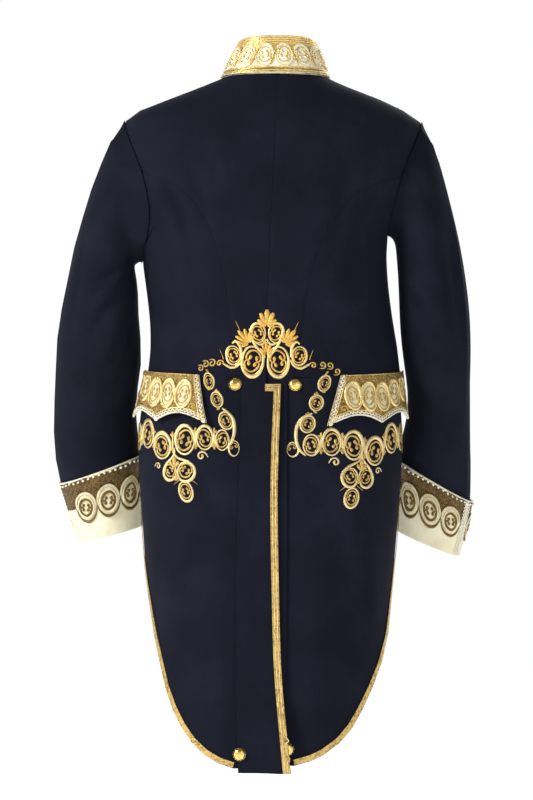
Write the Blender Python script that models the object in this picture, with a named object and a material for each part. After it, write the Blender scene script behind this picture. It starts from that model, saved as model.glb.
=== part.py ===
"""Court uniform tail coat in dark wool broadcloth, hollow, in the form it has when worn.

The tables are in millimetres and degrees, and the scene is in metres, +Z up.
The wearer faces +Y, so the back of the coat faces -Y and the wearer's left is at -X.
The origin is the middle of the neck opening, level with the collar seam at the nape.
An angle goes round the body from 0 at the centre back to 90 at the wearer's right side
and -90 at the left, and on to 180 at the centre front.
"""

import math
from collections import namedtuple

import bmesh
import bpy
from mathutils import Vector
from mathutils.bvhtree import BVHTree

MM = 0.001

# Cloth and trim thicknesses, and the clearances between pieces
CLOTH = 2.0
CUFF_CLOTH = 2.6
COLLAR_CLOTH = 2.6
FLAP_CLOTH = 2.4
LACE = 0.9
SEAM_GAP = 0.3
WAIST_GAP = 0.5
LAID_GAP = 0.6
UNDERLAP = 2.7
FAR = 60
DEEPEST = 15

LEFT = -1
RIGHT = 1
SIDE_NAMES = {LEFT: "left", RIGHT: "right"}

# Body sections from the nape down: the centre back line, the sides' outlines across the body,
# and the depths behind and before the shoulder line.
Section = namedtuple("Section", "z centre left right back front")
SECTIONS = (
    Section(8, 9, -56, 73, 54, 44),
    Section(-6, 9, -70, 85, 65, 51),
    Section(-14, 8.8, -93, 104, 72, 56),
    Section(-23, 8.5, -114, 125, 78, 60),
    Section(-31, 8.2, -137, 150, 83, 63),
    Section(-40, 8, -162, 170, 88, 67),
    Section(-48, 7.8, -182, 187, 92, 71),
    Section(-57, 7.6, -200, 200, 96, 76),
    Section(-70, 7.2, -206, 216, 101, 84),
    Section(-100, 6.2, -206, 213, 110, 101),
    Section(-130, 4.8, -205, 206, 115, 113),
    Section(-165, 3.2, -202, 197, 118, 121),
    Section(-200, 1.5, -197, 179, 118, 126),
    Section(-225, 0.4, -192, 168, 116, 128),
    Section(-260, -1, -182, 165.5, 111, 129),
    Section(-300, -2.4, -177, 168.5, 104, 127),
    Section(-345, -4.2, -171, 174.5, 97, 125),
    Section(-385, -5.4, -170, 181.5, 94, 124),
    Section(-428, -5.7, -175, 186.5, 97, 125),
    Section(-480, -5.7, -186, 188, 108, 127),
    Section(-540, -5.7, -188, 188.5, 116, 128),
    Section(-600, -5.7, -184, 184.5, 120, 127),
    Section(-650, -5.7, -180, 180, 121, 125),
    Section(-700, -5.7, -177, 175.5, 121, 122),
    Section(-760, -5.7, -174, 172, 122, 119),
    Section(-1000, -5.7, -169, 169, 122, 114),
)
SQUARENESS = 0.18
SHARP_ANGLE = 40

# The largest drag folds of the back, as troughs that run down the cloth
Fold = namedtuple("Fold", "angle_top angle_low z_top z_low half_angle depth")
BACK_FOLDS = (
    Fold(43, 34, -120, -285, 7, 3.5),
    Fold(-40, -31, -125, -270, 7, 2.5),
    Fold(60, 50, -175, -300, 6, 3.0),
    Fold(-56, -50, -190, -300, 6, 2.5),
)

# The armholes, by height: the angles of the back and the front edge, from the top round
# to the bottom. The back's curved seam starts from the fifth row.
Armhole = namedtuple("Armhole", "z back front")
ARMHOLES = {
    LEFT: (
        Armhole(-64, 90, 90),
        Armhole(-78, 82, 99),
        Armhole(-98, 72.5, 107),
        Armhole(-118, 66.5, 112),
        Armhole(-140, 61.8, 115),
        Armhole(-163, 59.2, 117),
        Armhole(-187, 58.4, 118),
        Armhole(-210, 60, 117),
        Armhole(-231, 65, 113),
        Armhole(-250, 77, 103),
        Armhole(-264, 90, 90),
    ),
    RIGHT: (
        Armhole(-66, 90, 90),
        Armhole(-79, 79, 101),
        Armhole(-98, 72.8, 107),
        Armhole(-119, 68.7, 112),
        Armhole(-146, 66.5, 115),
        Armhole(-162, 66, 117),
        Armhole(-178, 67.5, 117),
        Armhole(-193, 71, 115),
        Armhole(-207, 75.5, 111),
        Armhole(-219, 81, 103),
        Armhole(-226, 90, 90),
    ),
}
ARMHOLE_ROWS = 11
SEAM_ROW = 4

# The neckline, level round the back and falling to the centre front
NeckPoint = namedtuple("NeckPoint", "angle z")
NECKLINE = (
    NeckPoint(0, -4),
    NeckPoint(90, -4),
    NeckPoint(120, -5),
    NeckPoint(140, -8),
    NeckPoint(155, -14),
    NeckPoint(165, -22),
    NeckPoint(172, -31),
    NeckPoint(180, -38),
)
NECK_SIDE = -4
NECK_FRONT = -38

# Heights of the waist seam at the back and at the centre front, and of the top of the vent
WAIST = -428
FRONT_POINT = -442
VENT_TOP = -436

# Shoulder seams, by height down the ridge of the shoulder
SHOULDER_SEAM = (NECK_SIDE, -18, -33, -49)

# Back panels: the height of each row at the centre seam, from the neck down to the row
# where the curved seams start
BACK_CENTRE = (NECK_SIDE, -14, -26, -40, -55, -71, -88, -105, -121)
BACK_COLUMNS = 5

# Curved seams from the armholes to the hip buttons, with the height of each row at the centre
BackSeam = namedtuple("BackSeam", "centre_z left left_z right right_z")
BACK_SEAMS = (
    BackSeam(-134, 54, -147.5, 58, -151),
    BackSeam(-141, 48, -153, 51, -156),
    BackSeam(-153, 38.6, -166.4, 42.6, -165),
    BackSeam(-167, 34, -179, 38, -176),
    BackSeam(-186, 29.7, -197.4, 34.3, -189),
    BackSeam(-218, 25.5, -226, 29.5, -217),
    BackSeam(-257, 22.6, -260, 24, -253),
    BackSeam(-294, 20.3, -296, 20, -290),
    BackSeam(-338, 18.2, -339, 17, -334),
    BackSeam(-387, 15.9, -387, 14.2, -385),
    BackSeam(WAIST, 13.9, WAIST, 12, WAIST),
)

# Seams under the arms, and the height of the foreparts' rows at the centre front
SIDE_SEAMS = {
    LEFT: (-285, -318, -352, -388, WAIST),
    RIGHT: (-258, -298, -340, -384, WAIST),
}
SIDE_COLUMNS = 6
TIP_SHARE = 0.06
FRONT_CENTRE = (
    (NECK_FRONT, -48, -60, -73)
    + (-87, -102, -118, -134, -151, -168, -186, -205, -224, -243, -260)
    + (-285, -318, -354, -394, FRONT_POINT)
)
FRONT_COLUMNS = (90, 102, 114, 126, 138, 150, 162, 168.5, 173.5, 185)
FRONT_UNDERLAP = 171

# Tails: the left one's pleat edge, its vent edge and the right one's pleat edge, across the back
Tail = namedtuple("Tail", "z left_pleat vent right_pleat")
TAILS = (
    Tail(WAIST, -41, 15.8, 24.2),
    Tail(-447, -40.5, 15.5, 23.8),
    Tail(-530, -41.8, 12.3, 23.4),
    Tail(-600, -44.5, 10.9, 23.2),
    Tail(-680, -47, 12, 23),
    Tail(-760, -47.3, 13.6, 22.8),
    Tail(-830, -47.2, 15.9, 22.6),
    Tail(-900, -46.6, 21.3, 22.4),
    Tail(-953, -45.2, 26, 22),
    Tail(-974, -44.3, 27.8, 21.8),
)
UNDER_TAIL_EDGE = -16
VENT_STEP = 1.2
VENT_CLEAR = 23
VENT_CLEAR_RUN = 4
DIP_START = 34
DIP_RUN = 22
TAIL_LIFT = 9.5
TAIL_LIFT_TOP = -850
TAIL_LIFT_RUN = 80
TAIL_LIFT_START = -12
TAIL_LIFT_WIDTH = 26

# Skirts: the angle of the cut-away edge by height
Skirt = namedtuple("Skirt", "z edge")
SKIRTS = {
    LEFT: (
        Skirt(WAIST - WAIST_GAP, 150),
        Skirt(-455, 141),
        Skirt(-485, 131),
        Skirt(-520, 120),
        Skirt(-560, 109),
        Skirt(-605, 98),
        Skirt(-650, 90),
        Skirt(-697, 83),
        Skirt(-744, 75.5),
        Skirt(-787, 68.7),
        Skirt(-827, 62.3),
        Skirt(-861, 57.3),
        Skirt(-890, 51.5),
        Skirt(-914, 45.3),
        Skirt(-934, 38.8),
        Skirt(-950, 31.5),
        Skirt(-961, 24),
        Skirt(-968, 16.5),
    ),
    RIGHT: (
        Skirt(WAIST - WAIST_GAP, 150),
        Skirt(-455, 141),
        Skirt(-485, 131.5),
        Skirt(-520, 121),
        Skirt(-560, 110),
        Skirt(-605, 99),
        Skirt(-650, 91),
        Skirt(-697, 85),
        Skirt(-744, 80),
        Skirt(-787, 74.5),
        Skirt(-827, 65.8),
        Skirt(-861, 57),
        Skirt(-890, 49.5),
        Skirt(-914, 43),
        Skirt(-934, 35.8),
        Skirt(-950, 27.2),
        Skirt(-958, 20.8),
        Skirt(-964.5, 13.2),
    ),
}
PLEAT_MARGIN = 16
PLEAT_DIP = {LEFT: UNDERLAP, RIGHT: 2 * UNDERLAP}
PLEAT_RISE = {LEFT: 24, RIGHT: 34}
PLEAT_COLUMNS = (0, 0.25, 0.6, 1)
MIDDLE_SHARE = 0.6
REAR_COLUMNS = 5
FORE_COLUMNS = 4

# Sleeves: the outer and the inner outline of each section, its middle, half depth and pitch
Limb = namedtuple("Limb", "t outer_x outer_z inner_x inner_z middle_y half_depth pitch")
LIMBS = {
    LEFT: (
        Limb(1, -226, -90, -190, -268, 2, 66, 0),
        Limb(2, -240, -123, -192, -270, 2, 66, 0),
        Limb(3, -254, -160, -192, -273, 2, 66, 0),
        Limb(4, -266, -200, -191, -279, 1, 65, 0),
        Limb(5, -278, -243, -189, -289, 0, 63, 0),
        Limb(6, -287, -288, -187, -309, -1, 61, 0),
        Limb(7, -296, -331, -183.5, -338, 1, 59, 1),
        Limb(8, -303, -373, -182, -372, 8, 58, 2),
        Limb(9, -306, -415, -183, -409, 20, 57, 4),
        Limb(10, -309, -460, -189, -446, 35, 55, 5),
        Limb(11, -311, -505, -192, -480, 50, 54, 6),
        Limb(12, -309, -545, -190, -509, 63, 52, 6),
        Limb(13, -303, -579, -184, -536, 75, 51, 5),
        Limb(14, -277, -664, -181, -638, 92, 46, 4),
    ),
    RIGHT: (
        Limb(1, 232, -96, 173, -231, 2, 66, 0),
        Limb(2, 244, -132, 176, -236, 2, 66, 0),
        Limb(3, 254, -170, 178, -243, 2, 66, 0),
        Limb(4, 264, -210, 179, -256, 1, 65, 0),
        Limb(5, 272.5, -250, 180.5, -275, 0, 62, 0),
        Limb(6, 279.5, -294, 182, -303, -1, 60, 0),
        Limb(7, 284.5, -338, 183, -338, 0, 58, 1),
        Limb(8, 286.5, -382, 185.5, -376, 7, 57, 2),
        Limb(9, 286.5, -428, 191, -413, 19, 56, 4),
        Limb(10, 287, -473, 197, -448, 35, 55, 5),
        Limb(11, 289, -518, 197, -482, 51, 54, 6),
        Limb(12, 290.5, -562, 190, -513, 65, 53, 6),
        Limb(13, 291, -606, 182, -542, 78, 51, 5),
        Limb(14, 273, -685, 181, -645, 94, 46, 4),
    ),
}
LIMB_COLUMNS = 2 * (ARMHOLE_ROWS - 1)
COLUMN_STEP = 360 / LIMB_COLUMNS
CUFF_ROW = 13
MOUTH_ROW = 14
SLEEVE_END = 13.3
HIND_SEAM = 1
FORE_SEAM = 11
HIND_TURN = {LEFT: -8, RIGHT: 14}
HIND_TURN_ROWS = 6
CUFF_STEPS = 3
CUFF_CLEAR = 0.8
SLIT_TOP = 0.8
SLIT_MOUTH = 5.0

# Elbow ridges and hollows of the sleeves: from the first row and column angle to the last
Crease = namedtuple("Crease", "row_top angle_top row_low angle_low half_angle height")
CREASES = {
    LEFT: (
        Crease(5.5, 150, 12.5, 70, 16, 5.0),
        Crease(6, 180, 12.5, 112, 26, -8.0),
        Crease(4, 60, 8, 40, 22, 3.0),
    ),
    RIGHT: (
        Crease(2, 48, 8, 62, 16, -5.0),
        Crease(3, 95, 10, 100, 20, 4.0),
        Crease(8, 62, 12, 30, 16, -5.0),
    ),
}
CREASE_FULLNESS = 0.6

# Standing collar: its top edge by angle
CollarTop = namedtuple("CollarTop", "angle across y z")
COLLAR_TOP = (
    CollarTop(0, 0, -48, 51),
    CollarTop(30, 29, -42, 50.5),
    CollarTop(60, 47.5, -23, 48),
    CollarTop(90, 54.5, 4, 44),
    CollarTop(120, 50, 30, 35),
    CollarTop(150, 31, 50, 21),
    CollarTop(180, 0, 58, 10),
)
COLLAR_TOP_MIDDLE = 10.5
COLLAR_FRONT = 179.3
COLLAR_STEP = 18
COLLAR_ROWS = 3

# Hip pocket flaps, with scallops that end in three points
FlapEdge = namedtuple("FlapEdge", "top_angle top_z low_angle low_z")
FLAP_REAR = {LEFT: FlapEdge(33.3, -425, 26.3, -493), RIGHT: FlapEdge(32.8, -426, 25.3, -497)}
FLAP_FRONT = {LEFT: FlapEdge(91, -418, 84, -485), RIGHT: FlapEdge(93, -419, 83, -487)}
FLAP_SCALLOP = 12
FLAP_COLUMNS = 24
FLAP_ROWS = 3
FLAP_FLARE = 7
FLAP_FLARE_BEND = 1.5

# Gilt lace
VENT_LACE = 10
VENT_LACE_ARM = 22
HEM_LACE = 8
HEM_LACE_STEPS = 5
HEM_LACE_GAP = 0.8
LACE_INSET = 0.8

# Gilt buttons
BUTTON_RADIUS = 9.0
BUTTON_FOOT = 8.4
BUTTON_SHOULDER = 8.5
BUTTON_RIM = 1.4
BUTTON_DOME = 5.2
BUTTON_SIDES = 14
BUTTON_SHARES = (0.35, 0.65)
BUTTON_PROBES = 8
HIP_BUTTON = {LEFT: (-48.5, -438), RIGHT: (35, -438.5)}
HEM_BUTTON = {LEFT: (-42.3, -948), RIGHT: (24.3, -941.5)}
FRONT_BUTTONS = 9
FRONT_BUTTON_TOP = -62
FRONT_BUTTON_LOW = -428

COLOURS = {
    "navy_broadcloth": ((0.012, 0.013, 0.022, 1.0), 0.85, 0.0),
    "ivory_cloth": ((0.70, 0.66, 0.45, 1.0), 0.80, 0.0),
    "gilt_lace": ((0.62, 0.42, 0.11, 1.0), 0.42, 0.6),
    "gilt_metal": ((0.85, 0.55, 0.12, 1.0), 0.22, 1.0),
}


# Curves through the tables

def between(rows, key, field, key_field="z"):
    """The value of a field at key, on a smooth curve through the rows, in either order."""
    keys = [getattr(row, key_field) for row in rows]
    values = [getattr(row, field) for row in rows]
    if keys[0] > keys[-1]:
        keys.reverse()
        values.reverse()
    last = len(keys) - 1
    if key <= keys[0]:
        return values[0]
    if key >= keys[last]:
        return values[last]
    i = max(n for n in range(last) if keys[n] <= key)
    span = keys[i + 1] - keys[i]

    def slope(n):
        if n == 0:
            return (values[1] - values[0]) / (keys[1] - keys[0])
        if n == last:
            return (values[last] - values[last - 1]) / (keys[last] - keys[last - 1])
        before = (values[n] - values[n - 1]) / (keys[n] - keys[n - 1])
        after = (values[n + 1] - values[n]) / (keys[n + 1] - keys[n])
        if before * after <= 0:
            return 0.0
        return 2 * before * after / (before + after)

    u = (key - keys[i]) / span
    start = (1 + 2 * u) * (1 - u) ** 2 * values[i] + u * (1 - u) ** 2 * span * slope(i)
    end = u * u * (3 - 2 * u) * values[i + 1] - u * u * (1 - u) * span * slope(i + 1)
    return start + end


def smooth(share):
    """A ramp from 0 to 1 with soft ends."""
    share = min(1.0, max(0.0, share))
    return share * share * (3 - 2 * share)


def mix(start, end, share):
    return tuple(a + (b - a) * share for a, b in zip(start, end))


def even(count):
    return [n / count for n in range(count + 1)]


# The body's surface

section_at = {}


def section(z):
    if z not in section_at:
        fields = Section._fields[1:]
        section_at[z] = Section(z, *(between(SECTIONS, z, field) for field in fields))
    return section_at[z]


def fold_depth(angle, z):
    depth = 0.0
    for fold in BACK_FOLDS:
        run = (z - fold.z_top) / (fold.z_low - fold.z_top)
        if 0 < run < 1:
            centre = fold.angle_top + (fold.angle_low - fold.angle_top) * run
            across = (angle - centre) / fold.half_angle
            depth += fold.depth * math.sin(math.pi * run) * math.exp(-across * across)
    return depth


def body_surface(angle, z):
    """The coat's outer surface with its folds left out."""
    cut = section(z)
    across, along = math.sin(math.radians(angle)), math.cos(math.radians(angle))
    half = cut.right - cut.centre if across > 0 else cut.centre - cut.left
    depth = cut.back if along > 0 else cut.front
    y = -depth * along * (1 + SQUARENESS * across * across)
    return Vector((cut.centre + half * across, y, z))


def body_normal(angle, z):
    around = body_surface(angle + 1, z) - body_surface(angle - 1, z)
    down = body_surface(angle, z - 2) - body_surface(angle, z + 2)
    return down.cross(around).normalized()


def body_point(angle, z, lift=0.0):
    """A point at a distance out from the body's surface, with its folds."""
    out = lift - fold_depth(angle, z)
    return body_surface(angle, z) + body_normal(angle, z) * out


def angle_at(x, z):
    """The angle at which the back has this x."""
    cut = section(z)
    half = cut.right - cut.centre if x > cut.centre else cut.centre - cut.left
    return math.degrees(math.asin((x - cut.centre) / half))


# Building the solids

outer_faces = {}


def new_material(name):
    colour, roughness, metallic = COLOURS[name]
    material = bpy.data.materials.new(name)
    material.use_nodes = True
    shader = material.node_tree.nodes["Principled BSDF"]
    shader.inputs["Base Color"].default_value = colour
    shader.inputs["Roughness"].default_value = roughness
    shader.inputs["Metallic"].default_value = metallic
    return material


def add_object(name, mesh, material):
    mesh.materials.append(bpy.data.materials[material])
    mesh.shade_smooth()
    mesh.set_sharp_from_angle(angle=math.radians(SHARP_ANGLE))
    bpy.data.collections["court_uniform"].objects.link(bpy.data.objects.new(name, mesh))


def loft_faces(rows, columns):
    """The two triangles of each cell between rows of points."""
    faces = []
    for i in range(rows - 1):
        for j in range(columns - 1):
            a, b = i * columns + j, (i + 1) * columns + j
            faces += [(a, b, b + 1), (a, b + 1, a + 1)]
    return faces


def loft_wall(name, outer, inner, material):
    """A cloth wall lofted between its outer and its inner rows of points, with its rims."""
    rows, columns = len(outer), len(outer[0])
    points = [p for grid in (outer, inner) for row in grid for p in row]
    faces = loft_faces(rows, columns)
    outer_faces[name] = BVHTree.FromPolygons(points[: rows * columns], faces)
    back = rows * columns
    faces += [tuple(back + n for n in face) for face in faces]
    for i in range(rows - 1):
        for edge in (0, columns - 1):
            a, b = i * columns + edge, (i + 1) * columns + edge
            faces += [(a, b, back + b), (a, back + b, back + a)]
    for j in range(columns - 1):
        for edge in (0, rows - 1):
            a, b = edge * columns + j, edge * columns + j + 1
            faces += [(a, b, back + b), (a, back + b, back + a)]
    shape = bmesh.new()
    corners = [shape.verts.new(p * MM) for p in points]
    for face in faces:
        shape.faces.new([corners[n] for n in face])
    bmesh.ops.recalc_face_normals(shape, faces=shape.faces)
    mesh = bpy.data.meshes.new(name)
    shape.to_mesh(mesh)
    shape.free()
    add_object(name, mesh, material)


def draw_in(grids, edge, beside, widths):
    """Moves the points of an edge column square to that edge, towards the next column."""
    outer = grids[0]
    last = len(outer) - 1
    steps = []
    for i, row in enumerate(outer):
        along = (outer[min(i + 1, last)][edge] - outer[max(i - 1, 0)][edge]).normalized()
        step = row[beside] - row[edge]
        step -= along * step.dot(along)
        steps.append(step.normalized() * widths[i])
    for grid in grids:
        for row, step in zip(grid, steps):
            row[edge] += step


def body_wall(name, rows, material="navy_broadcloth", thickness=CLOTH):
    """A wall on the body from rows of (angle, z, lift), the lift being its outer face's."""
    grids = []
    for below in (0, thickness):
        grids.append([[body_point(a, z, lift - below) for a, z, lift in row] for row in rows])
    for edge, beside in ((0, 1), (-1, -2)):
        draw_in(grids, edge, beside, [SEAM_GAP / 2] * len(rows))
    loft_wall(name, grids[0], grids[1], material)


def spread(start, end, count, lift_at=None):
    """A row of points from start to end, each an (angle, z, lift)."""
    row = []
    for n in range(count + 1):
        angle, z = mix(start, end, n / count)
        row.append((angle, z, lift_at(angle, z) if lift_at else 0.0))
    return row


def laid_on(names, angle, z, gap):
    """A point at a gap outside the outermost of some walls, with the way out there."""
    out = body_normal(angle, z)
    start = body_surface(angle, z) + out * FAR
    reaches = [outer_faces[name].ray_cast(start, -out, FAR + DEEPEST)[3] for name in names]
    reach = min((r for r in reaches if r is not None), default=FAR)
    return start - out * (reach - gap), out


def laid_wall(name, rows, names, material, thickness):
    """A wall laid on others, from rows of (angle, z, gap)."""
    outer, inner = [], []
    for row in rows:
        laid = [laid_on(names, *place) for place in row]
        outer.append([p + out * thickness for p, out in laid])
        inner.append([p for p, out in laid])
    loft_wall(name, outer, inner, material)


# Back panels, with the centre tails cut in one with them

def armhole_back(side, row):
    return (side * ARMHOLES[side][row].back, ARMHOLES[side][row].z)


def armhole_front(side, row):
    return (side * ARMHOLES[side][row].front, ARMHOLES[side][row].z)


def back_seam_ends(side):
    if side == LEFT:
        return [(-row.left, row.left_z) for row in BACK_SEAMS]
    return [(row.right, row.right_z) for row in BACK_SEAMS]


def pleat_edge(side, z):
    return between(TAILS, z, "left_pleat" if side == LEFT else "right_pleat")


def over_tail_lift(x, z):
    """How far the upper tail stands off where it passes over the lower hem button."""
    down = smooth((TAIL_LIFT_TOP - z) / TAIL_LIFT_RUN)
    return TAIL_LIFT * down * smooth((x - TAIL_LIFT_START) / TAIL_LIFT_WIDTH)


def under_tail_lift(x, z):
    """The lower tail dips under the upper one, from just above the top of the vent."""
    down = smooth((VENT_TOP + DIP_START - z) / DIP_RUN)
    across = 1 - smooth((x - VENT_CLEAR) / VENT_CLEAR_RUN) if z > VENT_TOP else 1
    return -UNDERLAP * down * across


def back_lift(side, angle, z):
    x = body_surface(angle, z).x
    return over_tail_lift(x, z) if side == LEFT else under_tail_lift(x, z)


def back_panel(side):
    def lift(angle, z):
        return back_lift(side, angle, z)

    ends = [(side * 90, z) for z in SHOULDER_SEAM]
    ends += [armhole_back(side, n) for n in range(SEAM_ROW + 1)]
    ends += back_seam_ends(side)
    centre = list(BACK_CENTRE) + [row.centre_z for row in BACK_SEAMS]
    rows = [spread((0, z), end, BACK_COLUMNS, lift) for z, end in zip(centre, ends)]
    tail_end = TAILS[-1].z
    heights = [VENT_TOP, VENT_TOP - VENT_STEP]
    heights += [row.z for row in SKIRTS[LEFT][1:] if row.z > tail_end] + [tail_end]
    for z in heights:
        vent = UNDER_TAIL_EDGE if side == RIGHT else between(TAILS, z, "vent")
        start = 0 if z == VENT_TOP else angle_at(vent, z)
        end = angle_at(pleat_edge(side, z), z)
        rows.append(spread((start, z), (end, z), BACK_COLUMNS, lift))
    body_wall(f"back_{SIDE_NAMES[side]}", rows)


# Side bodies, from the curved seam to the seam under the arm

def side_body(side):
    corner = armhole_back(side, SEAM_ROW)
    seam = back_seam_ends(side)
    outer = [armhole_back(side, n) for n in range(SEAM_ROW + 1, ARMHOLE_ROWS)]
    outer += [(side * 90, z) for z in SIDE_SEAMS[side]]
    tip = (mix(corner, seam[0], TIP_SHARE), mix(corner, outer[0], TIP_SHARE))
    rows = [spread(start, end, SIDE_COLUMNS) for start, end in [tip] + list(zip(seam, outer))]
    body_wall(f"side_body_{SIDE_NAMES[side]}", rows)


# Foreparts, buttoned left over right

def neck_height(angle):
    return between(NECKLINE, abs(angle), "z", "angle")


def forepart(side):
    ends = [(side * 90, z) for z in SHOULDER_SEAM]
    ends += [armhole_front(side, n) for n in range(ARMHOLE_ROWS)]
    ends += [(side * 90, z) for z in SIDE_SEAMS[side]]
    rows = []
    for n, ((start, z), centre_z) in enumerate(zip(ends, FRONT_CENTRE)):
        row = []
        for column in FRONT_COLUMNS:
            share = (column - 90) / 90
            angle = side * (abs(start) + (180 - abs(start)) * share)
            neck_share = (neck_height(min(column, 180)) - NECK_SIDE) / (NECK_FRONT - NECK_SIDE)
            fall = neck_share + (min(share, 1) - neck_share) * n / (len(ends) - 1)
            lift = -UNDERLAP if side == RIGHT and abs(angle) > FRONT_UNDERLAP else 0.0
            row.append((angle, z + (centre_z - z) * fall, lift))
        rows.append(row)
    body_wall(f"forepart_{SIDE_NAMES[side]}", rows)


# Skirts, pleated under the tails at the back and cut away at the front

def pleat_lift(side, x, z):
    """The skirt's rear edge goes in under the tail."""
    beyond = side * (x - pleat_edge(side, z))
    return -PLEAT_DIP[side] * (1 - smooth(beyond / PLEAT_RISE[side]))


def skirt(side):
    rows = []
    for z, edge in SKIRTS[side]:
        pleat_x = pleat_edge(side, z)
        edge_x = body_surface(side * min(edge, 90), z).x
        run = min(PLEAT_RISE[side], side * (edge_x - pleat_x) / 2)
        steps = [-PLEAT_MARGIN] + [run * share for share in PLEAT_COLUMNS]
        angles = [angle_at(pleat_x + side * step, z) for step in steps]
        first = abs(angles.pop())
        middle = min(90, first + (edge - first) * MIDDLE_SHARE)
        spans = ((first, middle, REAR_COLUMNS), (middle, edge, FORE_COLUMNS))
        for start, end, count in spans:
            angles += [side * (start + (end - start) * share) for share in even(count)[:-1]]
        angles.append(side * edge)
        row = []
        for angle in angles:
            x = body_surface(angle, z).x
            fall = max(0, abs(angle) - 90) / 90 if not rows else 0
            height = z + (FRONT_POINT - WAIST) * fall
            row.append((angle, height, pleat_lift(side, x, z) if abs(angle) < 90 else 0.0))
        rows.append(row)
    body_wall(f"skirt_{SIDE_NAMES[side]}", rows)


# Sleeves, each a top sleeve and an under sleeve sewn at the hind and fore arm

def crease_height(side, t, angle):
    height = 0.0
    for crease in CREASES[side]:
        run = (t - crease.row_top) / (crease.row_low - crease.row_top)
        if 0 < run < 1:
            centre = crease.angle_top + (crease.angle_low - crease.angle_top) * run
            across = (angle - centre) / crease.half_angle
            along = math.sin(math.pi * run) ** CREASE_FULLNESS
            height += crease.height * along * math.exp(-across * across)
    return height


def limb_point(side, t, angle):
    """A point of the sleeve's outline, from angle 0 at its outer side round by the back."""
    cut = Limb(t, *(between(LIMBS[side], t, field, "t") for field in Limb._fields[1:]))
    outer = Vector((cut.outer_x, cut.middle_y, cut.outer_z))
    inner = Vector((cut.inner_x, cut.middle_y, cut.inner_z))
    turn, lean = math.radians(angle), math.radians(cut.pitch)
    across = (outer - inner) / 2 * math.cos(turn)
    depth = Vector((0, -math.cos(lean), -math.sin(lean))) * cut.half_depth * math.sin(turn)
    spoke = across + depth
    spoke += spoke.normalized() * crease_height(side, t, angle % 360)
    return (outer + inner) / 2 + spoke


def limb_ring(side, t):
    """A ring of points round the sleeve, whose seams turn a little on their way down."""
    turn = HIND_TURN[side] * smooth((t - 1) / HIND_TURN_ROWS)
    return [limb_point(side, t, n * COLUMN_STEP + turn) for n in range(LIMB_COLUMNS)]


def armhole_loop(side):
    """The armhole's points, from its top down the back and up the front."""
    loop = [armhole_back(side, n) for n in range(ARMHOLE_ROWS - 1)]
    return loop + [armhole_front(side, n) for n in range(ARMHOLE_ROWS - 1, 0, -1)]


def ring_normals(grid):
    """Outward normals at the points of a tube of rings."""
    last, columns = len(grid) - 1, len(grid[0])
    normals = []
    for i, ring in enumerate(grid):
        above, below = grid[max(i - 1, 0)], grid[min(i + 1, last)]
        middle = sum(ring, Vector()) / columns
        row = []
        for j, point in enumerate(ring):
            around = ring[(j + 1) % columns] - ring[j - 1]
            normal = around.cross(below[j] - above[j]).normalized()
            if normal.dot(point - middle) < 0:
                normal.negate()
            row.append(normal)
        normals.append(row)
    return normals


def sleeve_rings(side):
    """Outer and inner rings of the whole sleeve, the first of them on the armhole."""
    places = armhole_loop(side)
    rings = [[body_point(a, z, LAID_GAP) for a, z in places]]
    rings += [limb_ring(side, t) for t in list(range(1, CUFF_ROW + 1)) + [SLEEVE_END]]
    normals = ring_normals(rings)
    for j, (angle, z) in enumerate(places):
        out = body_normal(angle, z)
        sunk = min(0, normals[0][j].dot(out))
        normals[0][j] = (normals[0][j] - out * sunk).normalized()
    outer = [[p.copy() for p in ring] for ring in rings]
    inner = [[p - n * CLOTH for p, n in zip(*pair)] for pair in zip(rings, normals)]
    outer[0] = [p + n * CLOTH for p, n in zip(rings[0], normals[0])]
    inner[0] = rings[0]
    return outer, inner


def strip(grid, first, last):
    """The columns from first to last of closed rings."""
    return [[ring[n % len(ring)].copy() for n in range(first, last + 1)] for ring in grid]


def sleeve(side):
    rings = sleeve_rings(side)
    halves = {
        "under_sleeve": (HIND_SEAM, FORE_SEAM),
        "top_sleeve": (FORE_SEAM, HIND_SEAM + LIMB_COLUMNS),
    }
    for name, (first, last) in halves.items():
        grids = [strip(grid, first, last) for grid in rings]
        for edge, beside in ((0, 1), (-1, -2)):
            draw_in(grids, edge, beside, [SEAM_GAP / 2] * len(grids[0]))
        loft_wall(f"{name}_{SIDE_NAMES[side]}", grids[0], grids[1], "navy_broadcloth")


# Cuffs, slit along the hind seam

def cuff(side):
    shares = even(CUFF_STEPS)
    rings = [limb_ring(side, CUFF_ROW + (MOUTH_ROW - CUFF_ROW) * share) for share in shares]
    normals = ring_normals(rings)
    grids = []
    for out in (CUFF_CLEAR + CUFF_CLOTH, CUFF_CLEAR):
        moved = [[p + n * out for p, n in zip(*pair)] for pair in zip(rings, normals)]
        grids.append(strip(moved, HIND_SEAM, HIND_SEAM + LIMB_COLUMNS))
    widths = [(SLIT_TOP + (SLIT_MOUTH - SLIT_TOP) * share) / 2 for share in shares]
    for edge, beside in ((0, 1), (-1, -2)):
        draw_in(grids, edge, beside, widths)
    loft_wall(f"cuff_{SIDE_NAMES[side]}", grids[0], grids[1], "ivory_cloth")


# Standing collar

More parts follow.
